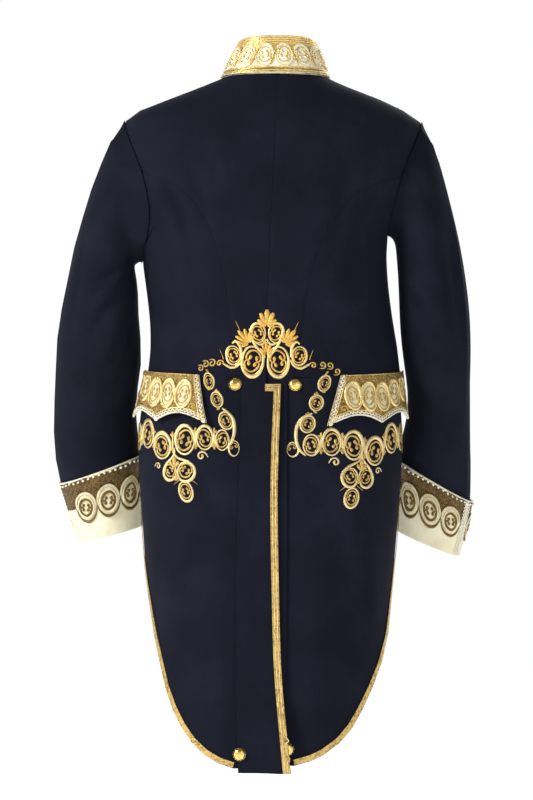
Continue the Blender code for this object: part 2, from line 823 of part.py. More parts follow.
def collar():
    half = list(range(0, 90, COLLAR_STEP)) + list(FRONT_COLUMNS[:-1]) + [COLLAR_FRONT]
    angles = [-a for a in reversed(half[1:])] + half
    foot, top = [], []
    for angle in angles:
        foot.append(body_point(angle, neck_height(angle), LAID_GAP))
        across, y, z = (between(COLLAR_TOP, abs(angle), f, "angle") for f in ("across", "y", "z"))
        top.append(Vector((COLLAR_TOP_MIDDLE + math.copysign(across, angle), y, z)))
    inner = [[a.lerp(b, share) for a, b in zip(foot, top)] for share in even(COLLAR_ROWS)]
    last = len(angles) - 1
    outer = []
    for i, row in enumerate(inner):
        above, below = inner[min(i + 1, COLLAR_ROWS)], inner[max(i - 1, 0)]
        moved = []
        for j, point in enumerate(row):
            around = row[min(j + 1, last)] - row[max(j - 1, 0)]
            normal = around.cross(above[j] - below[j]).normalized()
            moved.append(point + normal * COLLAR_CLOTH)
        outer.append(moved)
    loft_wall("collar", outer, inner, "ivory_cloth")


# Hip pocket flaps, scalloped to three points

def flap(side):
    under = [f"{name}_{SIDE_NAMES[side]}" for name in ("side_body", "forepart", "skirt")]
    rows = []
    for down in even(FLAP_ROWS):
        row = []
        for share in even(FLAP_COLUMNS):
            edges = mix(FLAP_REAR[side], FLAP_FRONT[side], share)
            angle, z = mix(edges[:2], edges[2:], down)
            z += FLAP_SCALLOP * abs(math.sin(2 * math.pi * share)) * down
            row.append((side * angle, z, LAID_GAP + FLAP_FLARE * down ** FLAP_FLARE_BEND))
        rows.append(row)
    laid_wall(f"pocket_flap_{SIDE_NAMES[side]}", rows, under, "ivory_cloth", FLAP_CLOTH)


# Gilt lace along the vent and the cut-away edges

def vent_lace():
    top_z = VENT_TOP - VENT_STEP - LACE_INSET
    low_z = top_z - VENT_LACE
    corner = between(TAILS, top_z, "vent") - LACE_INSET
    places = []
    for share in even(2):
        x = corner - VENT_LACE_ARM * (1 - share)
        places.append(((x, top_z), (min(x, corner - VENT_LACE), low_z)))
    heights = [row.z for row in SKIRTS[LEFT] if row.z < low_z - VENT_LACE]
    heights.append(TAILS[-1].z + LACE_INSET)
    for z in heights:
        edge = between(TAILS, z, "vent") - LACE_INSET
        places.append(((edge, z), (edge - VENT_LACE, z)))
    rows = [[(angle_at(x, z), z, LAID_GAP) for x, z in pair] for pair in places]
    laid_wall("vent_lace", rows, ["back_left"], "gilt_lace", LACE)


def hem_lace(side):
    corners = [(side * edge, z) for z, edge in SKIRTS[side]]
    fall = (FRONT_POINT - WAIST) * (SKIRTS[side][0].edge - 90) / 90
    corners[0] = (corners[0][0], corners[0][1] + fall - LACE_INSET)
    path = corners[:1]
    for start, end in zip(corners, corners[1:]):
        path += [mix(start, end, share) for share in even(HEM_LACE_STEPS)[1:]]
    points = [body_surface(*place) for place in path]
    last = len(path) - 1
    rows = []
    for i, (angle, z) in enumerate(path):
        along = points[min(i + 1, last)] - points[max(i - 1, 0)]
        inward = body_normal(angle, z).cross(along).normalized() * -side
        degree = body_surface(angle + 1, z) - body_surface(angle, z)
        row = []
        for reach in (LACE_INSET, LACE_INSET + HEM_LACE):
            step = inward * reach
            turn = step.dot(degree) / degree.length_squared
            row.append((angle + turn, z + step.z, HEM_LACE_GAP))
        rows.append(row)
    laid_wall(f"hem_lace_{SIDE_NAMES[side]}", rows, [f"skirt_{SIDE_NAMES[side]}"], "gilt_lace", LACE)


# Gilt buttons

def button(name, names, angle, z):
    """A domed button, turned about the line square to the cloth, on the highest cloth there."""
    profile = [(0, 0), (BUTTON_FOOT, 0), (BUTTON_RADIUS, BUTTON_RIM / 2)]
    profile.append((BUTTON_SHOULDER, BUTTON_RIM))
    for share in BUTTON_SHARES:
        bend = share * math.pi / 2
        height = BUTTON_RIM + (BUTTON_DOME - BUTTON_RIM) * math.sin(bend)
        profile.append((BUTTON_SHOULDER * math.cos(bend), height))
    profile.append((0, BUTTON_DOME))
    shape = bmesh.new()
    line = [shape.verts.new((r * MM, 0, h * MM)) for r, h in profile]
    edges = [shape.edges.new(ends) for ends in zip(line, line[1:])]
    spin = {"cent": (0, 0, 0), "axis": (0, 0, 1), "angle": 2 * math.pi, "steps": BUTTON_SIDES}
    bmesh.ops.spin(shape, geom=line + edges, **spin)
    bmesh.ops.remove_doubles(shape, verts=shape.verts, dist=0.01 * MM)
    bmesh.ops.recalc_face_normals(shape, faces=shape.faces)
    mesh = bpy.data.meshes.new(name)
    shape.to_mesh(mesh)
    shape.free()
    centre, out = laid_on(names, angle, z, 0)
    degree = (body_surface(angle + 1, z) - body_surface(angle, z)).length
    lift = 0.0
    for n in range(BUTTON_PROBES):
        turn = 2 * math.pi * n / BUTTON_PROBES
        across = BUTTON_RADIUS * math.cos(turn) / degree
        point = laid_on(names, angle + across, z + BUTTON_RADIUS * math.sin(turn), 0)[0]
        lift = max(lift, (point - centre).dot(out))
    place = out.to_track_quat("Z", "Y").to_matrix().to_4x4()
    place.translation = (centre + out * (lift + LAID_GAP)) * MM
    add_object(name, mesh, "gilt_metal")
    bpy.data.objects[name].matrix_world = place


def buttons():
    for side in (LEFT, RIGHT):
        name = SIDE_NAMES[side]
        under = [f"back_{name}", f"side_body_{name}", f"skirt_{name}"]
        for place, (x, z) in (("hip", HIP_BUTTON[side]), ("hem", HEM_BUTTON[side])):
            button(f"{place}_button_{name}", under, angle_at(x, z), z)
    for n, share in enumerate(even(FRONT_BUTTONS - 1)):
        z = FRONT_BUTTON_TOP + (FRONT_BUTTON_LOW - FRONT_BUTTON_TOP) * share
        button(f"front_button_{n + 1}", ["forepart_left"], -180, z)


def main():
    for old in list(bpy.data.objects):
        bpy.data.objects.remove(old)
    coat = bpy.data.collections.new("court_uniform")
    bpy.context.scene.collection.children.link(coat)
    for name in COLOURS:
        new_material(name)
    for side in (LEFT, RIGHT):
        back_panel(side)
        side_body(side)
        forepart(side)
        skirt(side)
        sleeve(side)
        cuff(side)
        flap(side)
        hem_lace(side)
    collar()
    vent_lace()
    buttons()


main()
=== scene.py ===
"""A court uniform tail coat in dark wool broadcloth with goldwork embroidery, seen from behind."""

import math

import bpy
import numpy as np
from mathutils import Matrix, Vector
from mathutils.bvhtree import BVHTree
from mathutils.kdtree import KDTree


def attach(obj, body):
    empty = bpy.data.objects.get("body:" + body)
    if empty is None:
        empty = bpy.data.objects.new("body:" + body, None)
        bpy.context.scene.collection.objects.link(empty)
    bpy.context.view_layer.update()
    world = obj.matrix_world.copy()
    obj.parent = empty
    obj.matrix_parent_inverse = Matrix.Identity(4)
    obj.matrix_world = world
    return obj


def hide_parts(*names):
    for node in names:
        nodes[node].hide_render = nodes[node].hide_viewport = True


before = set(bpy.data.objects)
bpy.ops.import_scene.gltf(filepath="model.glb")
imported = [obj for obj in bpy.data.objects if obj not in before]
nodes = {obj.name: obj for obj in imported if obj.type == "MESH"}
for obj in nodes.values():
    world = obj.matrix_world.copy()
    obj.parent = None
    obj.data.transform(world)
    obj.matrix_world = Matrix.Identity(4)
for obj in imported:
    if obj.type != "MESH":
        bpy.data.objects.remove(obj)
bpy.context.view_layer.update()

MM = 0.001
SIDES = (("left", -1), ("right", 1))

# The camera stands 4 m behind the coat, level with its skirts' top, and takes in 1.136 m of height.
CAMERA = Vector((-0.005, -4.0, -0.46))
VIEW_HEIGHT = 1.136
SENSOR = 36

bpy.ops.object.camera_add(location=CAMERA, rotation=(math.radians(90), 0, 0))
camera = bpy.context.object
camera.data.sensor_width = SENSOR
camera.data.lens = SENSOR * abs(CAMERA.y) / VIEW_HEIGHT
bpy.context.scene.camera = camera

# Back panels, each cut in one with its centre tail, in milled navy wool broadcloth. They are sewn
# together down the centre, and the left tail laps over the right one below the vent.
SHARP = math.radians(50)
SMOOTHING = 2
FOLD_STEPS = 24
FOLD_ENDS = 0.06
FOLD_FADE = 0.8
BODY_MIDDLE = ((-5.7, 4.0), (182.0, 112.0))


def only(*pieces):
    """Selects these pieces and nothing else, the first of them active."""
    bpy.ops.object.select_all(action="DESELECT")
    for piece in pieces:
        piece.select_set(True)
    bpy.context.view_layer.objects.active = pieces[0]


def finish_with(piece, kind, **settings):
    """Adds a modifier and applies it."""
    only(piece)
    modifier = piece.modifiers.new(kind, kind)
    for name, value in settings.items():
        setattr(modifier, name, value)
    bpy.ops.object.modifier_apply(modifier=modifier.name)


def mode(name):
    bpy.ops.object.mode_set(mode=name)


def linked(name, data):
    """A new object in the scene."""
    piece = bpy.data.objects.new(name, data)
    bpy.context.scene.collection.objects.link(piece)
    return piece


def ready(piece):
    """Every piece rides on the coat's one body."""
    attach(piece, "root")
    return piece


class Look:
    """A material, or the world, with its shader and the nodes that feed it."""

    def __init__(self, name, owner=None, shader="Principled BSDF", **inputs):
        self.owner = owner or bpy.data.materials.new(name)
        self.owner.use_nodes = True
        self.tree = self.owner.node_tree
        self.shader = self.feed(self.tree.nodes[shader], inputs)
        self.coordinates = self.add("TexCoord").outputs
        self.place = self.coordinates["Object"]

    def feed(self, made, inputs):
        """Gives a node its inputs, each a value or the socket that feeds it."""
        for name, value in inputs.items():
            socket = made.inputs[name.replace("_", " ")]
            if isinstance(value, bpy.types.NodeSocket):
                self.tree.links.new(value, socket)
            else:
                socket.default_value = value
        return made

    def add(self, kind, **inputs):
        return self.feed(self.tree.nodes.new("ShaderNode" + kind), inputs)

    def mapped(self, **inputs):
        return self.add("Mapping", Vector=self.place, **inputs).outputs["Vector"]

    def noise(self, scale, detail, roughness=0.5, place=None):
        values = {"Scale": scale, "Detail": detail, "Roughness": roughness}
        return self.add("TexNoise", Vector=place or self.place, **values).outputs["Fac"]

    def wave(self, scale, bands, distortion, place=None, **inputs):
        made = self.add("TexWave", Vector=place or self.place, Scale=scale, Distortion=distortion, **inputs)
        made.bands_direction = bands
        return made.outputs["Fac"]

    def mix(self, factor, a, b):
        return self.add("Mix", Factor=factor, A=a, B=b).outputs["Result"]

    def ramp(self, factor, *stops):
        """A colour ramp from (place, colour) stops."""
        made = self.add("ValToRGB", Fac=factor)
        elements = made.color_ramp.elements
        while len(elements) < len(stops):
            elements.new(0.5)
        for element, (place, colour) in zip(elements, stops):
            element.position = place
            element.color = (*colour, 1)
        return made.outputs["Color"]

    def finish(self, colour, roughness, height=None, strength=0.0, distance=0.0, invert=False):
        """Feeds the shader. Roughness is a factor with its lowest and highest value, height a bump's."""
        factor, low, high = roughness
        spread = self.add("MapRange", Value=factor, To_Min=low, To_Max=high)
        self.feed(self.shader, {"Base Color": colour, "Roughness": spread.outputs["Result"]})
        if height is not None:
            bump = self.add("Bump", Strength=strength, Distance=distance, Height=height)
            bump.invert = invert
            self.feed(self.shader, {"Normal": bump.outputs["Normal"]})
        return self.owner


def new_broadcloth():
    """Milled wool: a felted face of short fibres brushed downwards, almost black with a blue cast."""
    sheen = {"Sheen_Weight": 0.035, "Sheen_Roughness": 0.4, "Sheen_Tint": (0.45, 0.50, 0.66, 1)}
    look = Look("navy_broadcloth_felted", Specular_IOR_Level=0.08, **sheen)
    brushed = look.mapped(Scale=(1, 1, 0.3))
    nap = look.noise(260, 4, 0.6, brushed)
    ribs = look.wave(420, "X", 3.0, look.mapped(Rotation=(0, math.radians(48), 0)), Detail=2, Detail_Scale=2)
    colour = look.ramp(
        look.mix(0.35, look.noise(14, 4, 0.55), nap),
        (0.30, (0.0042, 0.0050, 0.0100)),
        (0.52, (0.0066, 0.0077, 0.0150)),
        (0.72, (0.0104, 0.0120, 0.0225)),
    )
    height = look.mix(0.3, look.noise(1900, 5, 0.7, brushed), ribs)
    return look.finish(colour, (nap, 0.72, 0.96), height, 0.5, 0.00035)


def cloth_piece(name, material):
    """A panel in cloth: its solid's triangles merged to quads, its rims kept crisp, the rest made smooth."""
    piece = linked("cloth_" + name, nodes[name].data.copy())
    piece.data.materials.clear()
    piece.data.materials.append(material)
    only(piece)
    if piece.data.has_custom_normals:
        bpy.ops.mesh.customdata_custom_splitnormals_clear()
    mode("EDIT")
    bpy.ops.mesh.select_all(action="SELECT")
    bpy.ops.mesh.remove_doubles(threshold=0.01 * MM)
    bpy.ops.mesh.tris_convert_to_quads(face_threshold=SHARP, shape_threshold=math.radians(80))
    bpy.ops.mesh.select_all(action="DESELECT")
    bpy.ops.mesh.select_mode(type="EDGE")
    bpy.ops.mesh.edges_select_sharp(sharpness=SHARP)
    bpy.ops.transform.edge_crease(value=1)
    bpy.ops.mesh.select_mode(type="VERT")
    bpy.ops.transform.vert_crease(value=1)
    mode("OBJECT")
    finish_with(piece, "SUBSURF", levels=SMOOTHING, render_levels=SMOOTHING)
    only(piece)
    bpy.ops.object.shade_smooth_by_angle(angle=SHARP)
    ready(piece)
    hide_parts(name)
    return piece


def surface_of(*pieces):
    """The faces of some pieces as one tree for rays."""
    corners, faces = [], []
    for piece in pieces:
        first = len(corners)
        corners += [v.co.copy() for v in piece.data.vertices]
        faces += [[first + n for n in face.vertices] for face in piece.data.polygons]
    return BVHTree.FromPolygons(corners, faces)


def points_of(piece):
    places = np.empty(len(piece.data.vertices) * 3)
    piece.data.vertices.foreach_get("co", places)
    return places.reshape(-1, 3)


def put_points(piece, places):
    piece.data.vertices.foreach_set("co", places.ravel())
    piece.data.update()


def fold_line(tree, seen_from, corners):
    """Points along a fold, from its (across, height) corners in mm as seen from behind or the front."""
    line = []
    for (x, z), (end_x, end_z) in zip(corners, corners[1:]):
        for n in range(FOLD_STEPS):
            share = n / FOLD_STEPS
            start = Vector((x + (end_x - x) * share, 1000 * seen_from, z + (end_z - z) * share)) * MM
            hit = tree.ray_cast(start, Vector((0, -seen_from, 0)))[0]
            if hit:
                line.append(hit)
    return np.array(line)


def outward(places, middle):
    """The level directions at some places away from what their wall goes round."""
    centre, half = middle(places[:, 2])
    out = (places - centre) / np.square(half)
    out[:, 2] = 0
    return out / np.maximum(np.linalg.norm(out, axis=1), 1e-9)[:, None]


def press_folds(piece, tree, folds, middle, fullness=1.8):
    """Presses soft troughs, or raises ridges where depth is negative, into both faces of a wall alike.
    The folds are rows of (seen_from, corners, width, depth), and middle gives what the wall goes round."""
    places = points_of(piece)
    moves = np.zeros(len(places))
    for seen_from, corners, width, depth in folds:
        line = fold_line(tree, seen_from, corners)
        if len(line) < 2:
            continue
        gaps = np.full(len(places), 1e9)
        nearest = np.zeros(len(places))
        for n, point in enumerate(line):
            gap = np.linalg.norm(places - point, axis=1)
            closer = gap < gaps
            gaps[closer] = gap[closer]
            nearest[closer] = n / (len(line) - 1)
        fade = np.sin(math.pi * np.clip(FOLD_ENDS + (1 - 2 * FOLD_ENDS) * nearest, 0, 1)) ** FOLD_FADE
        moves -= depth * fullness * MM * fade * np.exp(-np.square(gaps / (width * MM)))
    put_points(piece, places + outward(places, middle) * moves[:, None])


def round_body(heights):
    (x, y), (half_x, half_y) = BODY_MIDDLE
    centre = np.zeros((len(heights), 3))
    centre[:, 0], centre[:, 1], centre[:, 2] = x * MM, y * MM, heights
    return centre, np.array((half_x, half_y, 1.0))


BACK = -1
FRONT = 1

# Drag folds of the back from the armholes towards the waist, as rows of what side they are seen
# from, their corners across and up in mm, their half width and their depth.
BACK_DRAG = (
    (BACK, ((-150, -150), (-120, -205), (-108, -275)), 10, 3.2),
    (BACK, ((-166, -190), (-140, -235), (-128, -300)), 8, 2.4),
    (BACK, ((-118, -120), (-95, -175), (-84, -250)), 12, 2),
    (BACK, ((150, -155), (126, -205), (112, -285)), 10, 3.4),
    (BACK, ((120, -125), (100, -180), (88, -262)), 12, 2.2),
    (BACK, ((-60, -395), (-110, -404), (-152, -398)), 7, 1.2),
    (BACK, ((52, -398), (104, -404), (150, -396)), 7, 1.2),
    (BACK, ((-20, -60), (0, -95), (18, -120)), 12, 1),
    (BACK, ((-95, -75), (-70, -100), (-60, -150)), 13, -1.6),
    (BACK, ((92, -75), (72, -105), (64, -160)), 13, -1.6),
)

navy = new_broadcloth()
body_tree = surface_of(*(nodes[n] for n in nodes if n.startswith(("back", "side", "fore", "skirt"))))
coat = {}
for name in ("back_left", "back_right"):
    coat[name] = cloth_piece(name, navy)
    press_folds(coat[name], body_tree, BACK_DRAG, round_body)

# Side bodies, cut as curved blades from the armhole down to the hip button. They give the coat its
# waist, and the back's folds run on across them.
for name, cut in (("side_body_left", (0.19, 0.30, 0.0389)), ("side_body_right", (0.20, 0.30, 0.0423))):
    coat[name] = cloth_piece(name, navy)
    press_folds(coat[name], body_tree, BACK_DRAG, round_body)

# Foreparts, buttoned left over right down the centre front. A few soft creases run from the
# buttons and the armholes, as on the back.
FRONT_DRAG = (
    (FRONT, ((-150, -165), (-115, -210), (-90, -290)), 11, 3),
    (FRONT, ((150, -160), (118, -205), (92, -285)), 11, 3),
    (FRONT, ((20, -255), (60, -268), (110, -262)), 9, 1.4),
    (FRONT, ((-10, -300), (-55, -312), (-105, -300)), 9, 1.4),
    (FRONT, ((18, -350), (60, -362), (112, -350)), 8, 1.2),
)
for name, cut in (("forepart_left", (0.30, 0.45, 0.1054)), ("forepart_right", (0.30, 0.45, 0.1063))):
    coat[name] = cloth_piece(name, navy)
    press_folds(coat[name], body_tree, FRONT_DRAG, round_body)

# Skirts, pleated in under the tails and cut away to the front. They hang free, so their folds are
# long, shallow and nearly upright.
SKIRT_FOLDS = (
    (BACK, ((-70, -560), (-100, -640), (-112, -760)), 22, 2.6),
    (BACK, ((-130, -640), (-140, -740), (-128, -850)), 20, -2.2),
    (BACK, ((-60, -700), (-66, -820), (-62, -930)), 15, -1.6),
    (BACK, ((62, -570), (96, -650), (108, -770)), 22, 2.6),
    (BACK, ((134, -640), (142, -740), (126, -850)), 20, -2.2),
    (BACK, ((58, -700), (64, -820), (56, -930)), 15, -1.6),
    (BACK, ((48, -560), (80, -590), (104, -640)), 9, 1.6),
    (BACK, ((-58, -620), (-84, -600), (-104, -560)), 9, 1.6),
)
for name in ("skirt_left", "skirt_right"):
    coat[name] = cloth_piece(name, navy)
    press_folds(coat[name], body_tree, SKIRT_FOLDS, round_body, 1.5)

# Sleeves, each a top sleeve and an under sleeve bent at the elbow. The cloth breaks there into a
# few deep creases, and lies smooth over the upper arm. The lines are (height, across, forward).
SLEEVE_LINES = {
    "left": (
        (-90, -208, 0), (-290, -237, 0), (-430, -246, 22), (-540, -240, 68), (-640, -232, 92),
    ),
    "right": (
        (-96, 204, 0), (-290, 231, 0), (-430, 239, 20), (-540, 241, 68), (-655, 230, 94),
    ),
}
SLEEVE_HALF = (52.0, 58.0)
SLEEVE_FOLDS = {
    "left": (
        (BACK, ((-200, -262), (-228, -288), (-262, -318)), 9, 4),
        (BACK, ((-196, -300), (-226, -330), (-258, -372)), 9, 3.6),
        (BACK, ((-192, -352), (-214, -392), (-240, -436)), 8, 3),
        (BACK, ((-262, -232), (-272, -300), (-286, -372)), 9, 2.4),
        (BACK, ((-214, -150), (-232, -190), (-256, -216)), 10, 1.8),
        (BACK, ((-236, -470), (-262, -500), (-286, -512)), 9, 2),
        (FRONT, ((-196, -330), (-232, -352), (-270, -346)), 10, 3.4),
        (FRONT, ((-194, -380), (-232, -396), (-276, -382)), 10, 3),
        (FRONT, ((-200, -280), (-226, -300), (-252, -296)), 10, 2.6),
    ),
    "right": (
        (BACK, ((192, -258), (216, -286), (246, -312)), 9, 3.6),
        (BACK, ((190, -306), (214, -338), (244, -372)), 9, 3.2),
        (BACK, ((194, -356), (214, -396), (238, -440)), 8, 2.8),
        (BACK, ((252, -228), (262, -300), (272, -372)), 9, 2.4),
        (BACK, ((206, -140), (222, -180), (244, -206)), 10, 1.8),
        (BACK, ((232, -476), (256, -506), (276, -520)), 9, 2),
        (FRONT, ((192, -330), (226, -352), (262, -346)), 10, 3.4),
        (FRONT, ((192, -380), (228, -396), (270, -382)), 10, 3),
        (FRONT, ((196, -280), (220, -300), (246, -296)), 10, 2.6),
    ),
}


def round_sleeve(side):
    rows = np.array(SLEEVE_LINES[side], float)[::-1] * MM

    def middle(heights):
        centre = [np.interp(heights, rows[:, 0], rows[:, n]) for n in (1, 2)]
        return np.stack((*centre, heights), axis=1), np.array((*SLEEVE_HALF, 1.0))

    return middle


for side, _ in SIDES:
    parts = ("top_sleeve_" + side, "under_sleeve_" + side)
    sleeve_tree = surface_of(*(nodes[n] for n in parts))
    for name in parts:
        coat[name] = cloth_piece(name, navy)
        press_folds(coat[name], sleeve_tree, SLEEVE_FOLDS[side], round_sleeve(side))
        press_folds(coat[name], body_tree, BACK_DRAG, round_body)


# Collar, cuffs and pocket flaps in fine ivory wool cloth, stiffened, so that they keep their form.
def new_ivory():
    """Fine plain-woven wool cloth, a warm white that has yellowed unevenly."""
    look = Look("ivory_cloth_woven", Specular_IOR_Level=0.25, Sheen_Weight=0.15, Sheen_Roughness=0.5)
    threads = look.noise(1500, 3)
    weave = look.mix(0.5, look.wave(420, "DIAGONAL", 1.2), look.wave(420, "Z", 1.2))
    stops = ((0.30, (0.66, 0.60, 0.40)), (0.55, (0.78, 0.73, 0.53)), (0.75, (0.84, 0.80, 0.63)))
    colour = look.ramp(look.noise(32, 5, 0.6), *stops)
    return look.finish(colour, (threads, 0.7, 0.92), look.mix(0.4, weave, threads), 0.4, 0.0002)


ivory = new_ivory()
for name, cut in (
    ("collar", (0.435, 0.056, 0.0212)),
    ("cuff_left", (0.36, 0.11, 0.0337)),
    ("cuff_right", (0.36, 0.11, 0.0317)),
    ("pocket_flap_left", (0.15, 0.085, 0.0089)),
    ("pocket_flap_right", (0.157, 0.085, 0.0097)),
):
    coat[name] = cloth_piece(name, ivory)


# Gilt lace along the vent and the cut-away edges, a narrow ribbon woven with gilt wire.
def new_gold(name, dark, light, roughness, grain, relief, metallic=0.82):
    """Gilt thread or wire: rows of fine cords with small breaks where they catch or lose the light."""
    look = Look(name, Metallic=metallic, Specular_IOR_Level=0.5)
    wires = look.wave(grain, "DIAGONAL", 1.5, look.mapped(Rotation=(0, math.radians(35), 0)), Detail=1)
    breaks = look.add("TexVoronoi", Vector=look.place, Scale=grain * 1.9).outputs["Distance"]
    age = look.noise(90, 4, 0.65)
    colour = look.ramp(look.mix(0.45, age, breaks), (0.22, dark), (0.55, light))
    return look.finish(colour, (age, *roughness), look.mix(0.5, wires, breaks), 0.7, relief)


lace_gold = new_gold("gilt_lace_woven", (0.09, 0.05, 0.012), (0.58, 0.40, 0.14), (0.3, 0.5), 140, 0.0006)
for name in ("vent_lace", "hem_lace_left", "hem_lace_right"):
    coat[name] = cloth_piece(name, lace_gold)

# Gilt buttons, domed and stamped from sheet, with a turned rim. Two stand at the hips, two near
# the hem of the tails, and nine close the front.
BUTTON_TONES = ((0.50, 0.30, 0.06), (0.90, 0.64, 0.20))
button_gold = new_gold("gilt_button_metal", *BUTTON_TONES, (0.16, 0.34), 160, 0.00015, 1.0)
for name in [n for n in nodes if "button" in n]:
    coat[name] = cloth_piece(name, button_gold)

# Tape behind the centre back seam, where the makers press the seam open and stay it. It also keeps
# light from showing between the two panels. The seam is upright below SEAM_BEND and leans above it.
TAPE_HALF = 5.0
TAPE_TOP = 2
TAPE_LOW = -400
TAPE_STEPS = 40
TAPE_THICK = 0.4
SEAM_FOOT = -5.5
SEAM_LEAN = 14.5
SEAM_BEND = 330
SEAM_SWAY = 1.3
BACK_WALL = -60


def flat_grid(name, columns, rows):
    """A flat grid from -1 to 1, with its points."""
    bpy.ops.object.select_all(action="DESELECT")
    bpy.ops.mesh.primitive_grid_add(x_subdivisions=columns, y_subdivisions=rows, size=2)
    bpy.context.object.name = name
    return bpy.context.object, points_of(bpy.context.object)


back_tree = surface_of(coat["back_left"], coat["back_right"])
tape, tape_points = flat_grid("back_seam_tape", 4, TAPE_STEPS)
for row in tape_points:
    height = TAPE_LOW + (TAPE_TOP - TAPE_LOW) * (row[1] + 1) / 2
    seam = SEAM_FOOT + SEAM_LEAN * max(0.0, (height + SEAM_BEND) / SEAM_BEND) ** SEAM_SWAY
    start = Vector((seam + row[0] * TAPE_HALF, 30, height)) * MM
    inner = None
    for aside in (0, 0.7, -0.7):
        inner = inner or back_tree.ray_cast(start + Vector((aside * MM, 0, 0)), Vector((0, -1, 0)), 0.2)[0]
    row[:] = (start.x, (inner.y if inner else BACK_WALL * MM) + TAPE_THICK * MM, start.z)
put_points(tape, tape_points)
finish_with(tape, "SOLIDIFY", thickness=TAPE_THICK * MM, offset=0)
tape.data.materials.append(navy)
ready(tape)

# Seam allowances of the armholes, sleeves, shoulders, blades and sides, rolled to a cord inside each
# seam, so that no light shows between the pieces. The back's long seams are drawn in a little.
SEAM_GAP = 1.6
SEAM_TURNS = 72
SEAM_STEP = 6.0
SEAM_HALF = 0.75
GROOVE_HALF = 2.6
GROOVE_DEPTH = 0.9


def near_tree(points):
    tree = KDTree(len(points))
    for n, point in enumerate(points):
        tree.insert(point, n)
    tree.balance()
    return tree


def seam_points(parts, others):
    """The points along which some pieces meet others."""
    tree = near_tree([point for n in others for point in points_of(coat[n])])
    edge = [point for n in parts for point in points_of(coat[n])]
    return np.array([point for point in edge if tree.find(point)[2] < SEAM_GAP * MM])


def new_line(name, half, sides, capped=True):
    line = bpy.data.curves.new(name, "CURVE")
    line.dimensions = "3D"
    line.bevel_depth = half
    line.bevel_resolution = sides
    line.use_fill_caps = capped
    return line


def line_mesh(name, line):
    only(linked(name, line))
    bpy.ops.object.convert(target="MESH")
    return bpy.context.object


def seam_cord(name, rim, sectors, closed=False):
    """A cord through the middle of a seam's points, one corner for each sector of them."""
    path = [rim[sectors == n].mean(axis=0) for n in sorted(set(sectors.tolist()))]
    line = new_line(name, SEAM_HALF * MM, 1, not closed)
    spline = line.splines.new("POLY")
    spline.points.add(len(path) - 1)
    for point, spot in zip(spline.points, path):
        point.co = (*spot, 1)
    spline.use_cyclic_u = closed
    allowance = line_mesh(name, line)
    allowance.data.materials.append(navy)
    ready(allowance)


def press_seam(parts, rim):
    """Draws a sewn seam in, so that it reads as a shallow groove between its two pieces."""
    tree = near_tree(rim)
    for name in parts:
        places = points_of(coat[name])
        gaps = np.array([tree.find(point)[2] for point in places])
        moves = GROOVE_DEPTH * MM * np.exp(-np.square(gaps / (GROOVE_HALF * MM)))
        put_points(coat[name], places - outward(places, round_body) * moves[:, None])


centre_seam = seam_points(("back_left",), ("back_right",))
press_seam(("back_left", "back_right"), centre_seam[centre_seam[:, 2] > TAPE_LOW * MM])
for side, _ in SIDES:
    back, side_body, forepart = "back_" + side, "side_body_" + side, "forepart_" + side
    top, under = "top_sleeve_" + side, "under_sleeve_" + side
    rim = seam_points((top, under), (back, side_body, forepart))
    hub = rim.mean(axis=0)
    turns = np.arctan2(rim[:, 2] - hub[2], rim[:, 1] - hub[1])
    sectors = ((turns + math.pi) / (2 * math.pi) * SEAM_TURNS).astype(int)
    seam_cord("armhole_allowance_" + side, rim, sectors, True)
    rim = seam_points((top,), (under,))
    middle = round_sleeve(side)(rim[:, 2])[0]
    for name, half in (("fore", rim[:, 1] > middle[:, 1]), ("hind", rim[:, 1] <= middle[:, 1])):
        heights = (rim[half][:, 2] / MM / SEAM_STEP).astype(int)
        seam_cord("sleeve_allowance_" + name + "_" + side, rim[half], heights)
    for name, parts, others, axis in (
        ("shoulder", (back,), (forepart,), 0),
        ("blade", (back,), (side_body,), 2),
        ("side", (side_body,), (forepart,), 2),
    ):
        rim = seam_points(parts, others)
        if axis == 2:
            press_seam(parts + others, rim)
            rim = seam_points(parts, others)
        seam_cord(name + "_allowance_" + side, rim, (rim[:, axis] / MM / SEAM_STEP).astype(int))

# Goldwork scrolls on the back, between the waist and the hip buttons. Gilt thread is laid over
# padding, so each stroke is a rounded cord that swells where it turns.
CHART_STEP = 2.0
EVEN_ROWS = 4
ARC_GAP = 5.0
AXIS = Vector((0, 10, 0))
REACH = 400
SINK = 0.10
FLATNESS = 0.60
CORD_SIDES = 2
CORD_STEPS = 4

coat_names = ("back_left", "back_right", "side_body_left", "side_body_right", "forepart_left")
coat_names += ("forepart_right", "skirt_left", "skirt_right")
coat_tree = surface_of(*(coat[n] for n in coat_names))


def run_of(path):
    """The length from the start of a path to each of its points."""
    return np.concatenate(([0], np.cumsum(np.linalg.norm(np.diff(path, axis=0), axis=1))))


def resampled(path, lengths, at):
    return np.stack([np.interp(at, lengths, path[:, n]) for n in range(path.shape[1])], axis=1)


def grid_chart(grid, across, up):
    """Lays flat shapes on a surface that is given as a grid of points at even steps across and up."""
    normals = np.cross(np.gradient(grid, axis=1), np.gradient(grid, axis=0))
    normals /= np.maximum(np.linalg.norm(normals, axis=2), 1e-12)[:, :, None]

    def place(flat):
        """World places of rows of (across, up, out), in mm."""
        u = np.clip((flat[:, 0] - across[0]) / (across[1] - across[0]), 0, len(across) - 1.001)
        v = np.clip((flat[:, 1] - up[0]) / (up[1] - up[0]), 0, len(up) - 1.001)
        i, j = v.astype(int), u.astype(int)
        a, b = (v - i)[:, None], (u - j)[:, None]
        found = []
        for values in (grid, normals):
            low = values[i, j] * (1 - b) + values[i, j + 1] * b
            top = values[i + 1, j] * (1 - b) + values[i + 1, j + 1] * b
            found.append(low * (1 - a) + top * a)
        return found[0] + found[1] * (flat[:, 2:3] * MM)

    return place


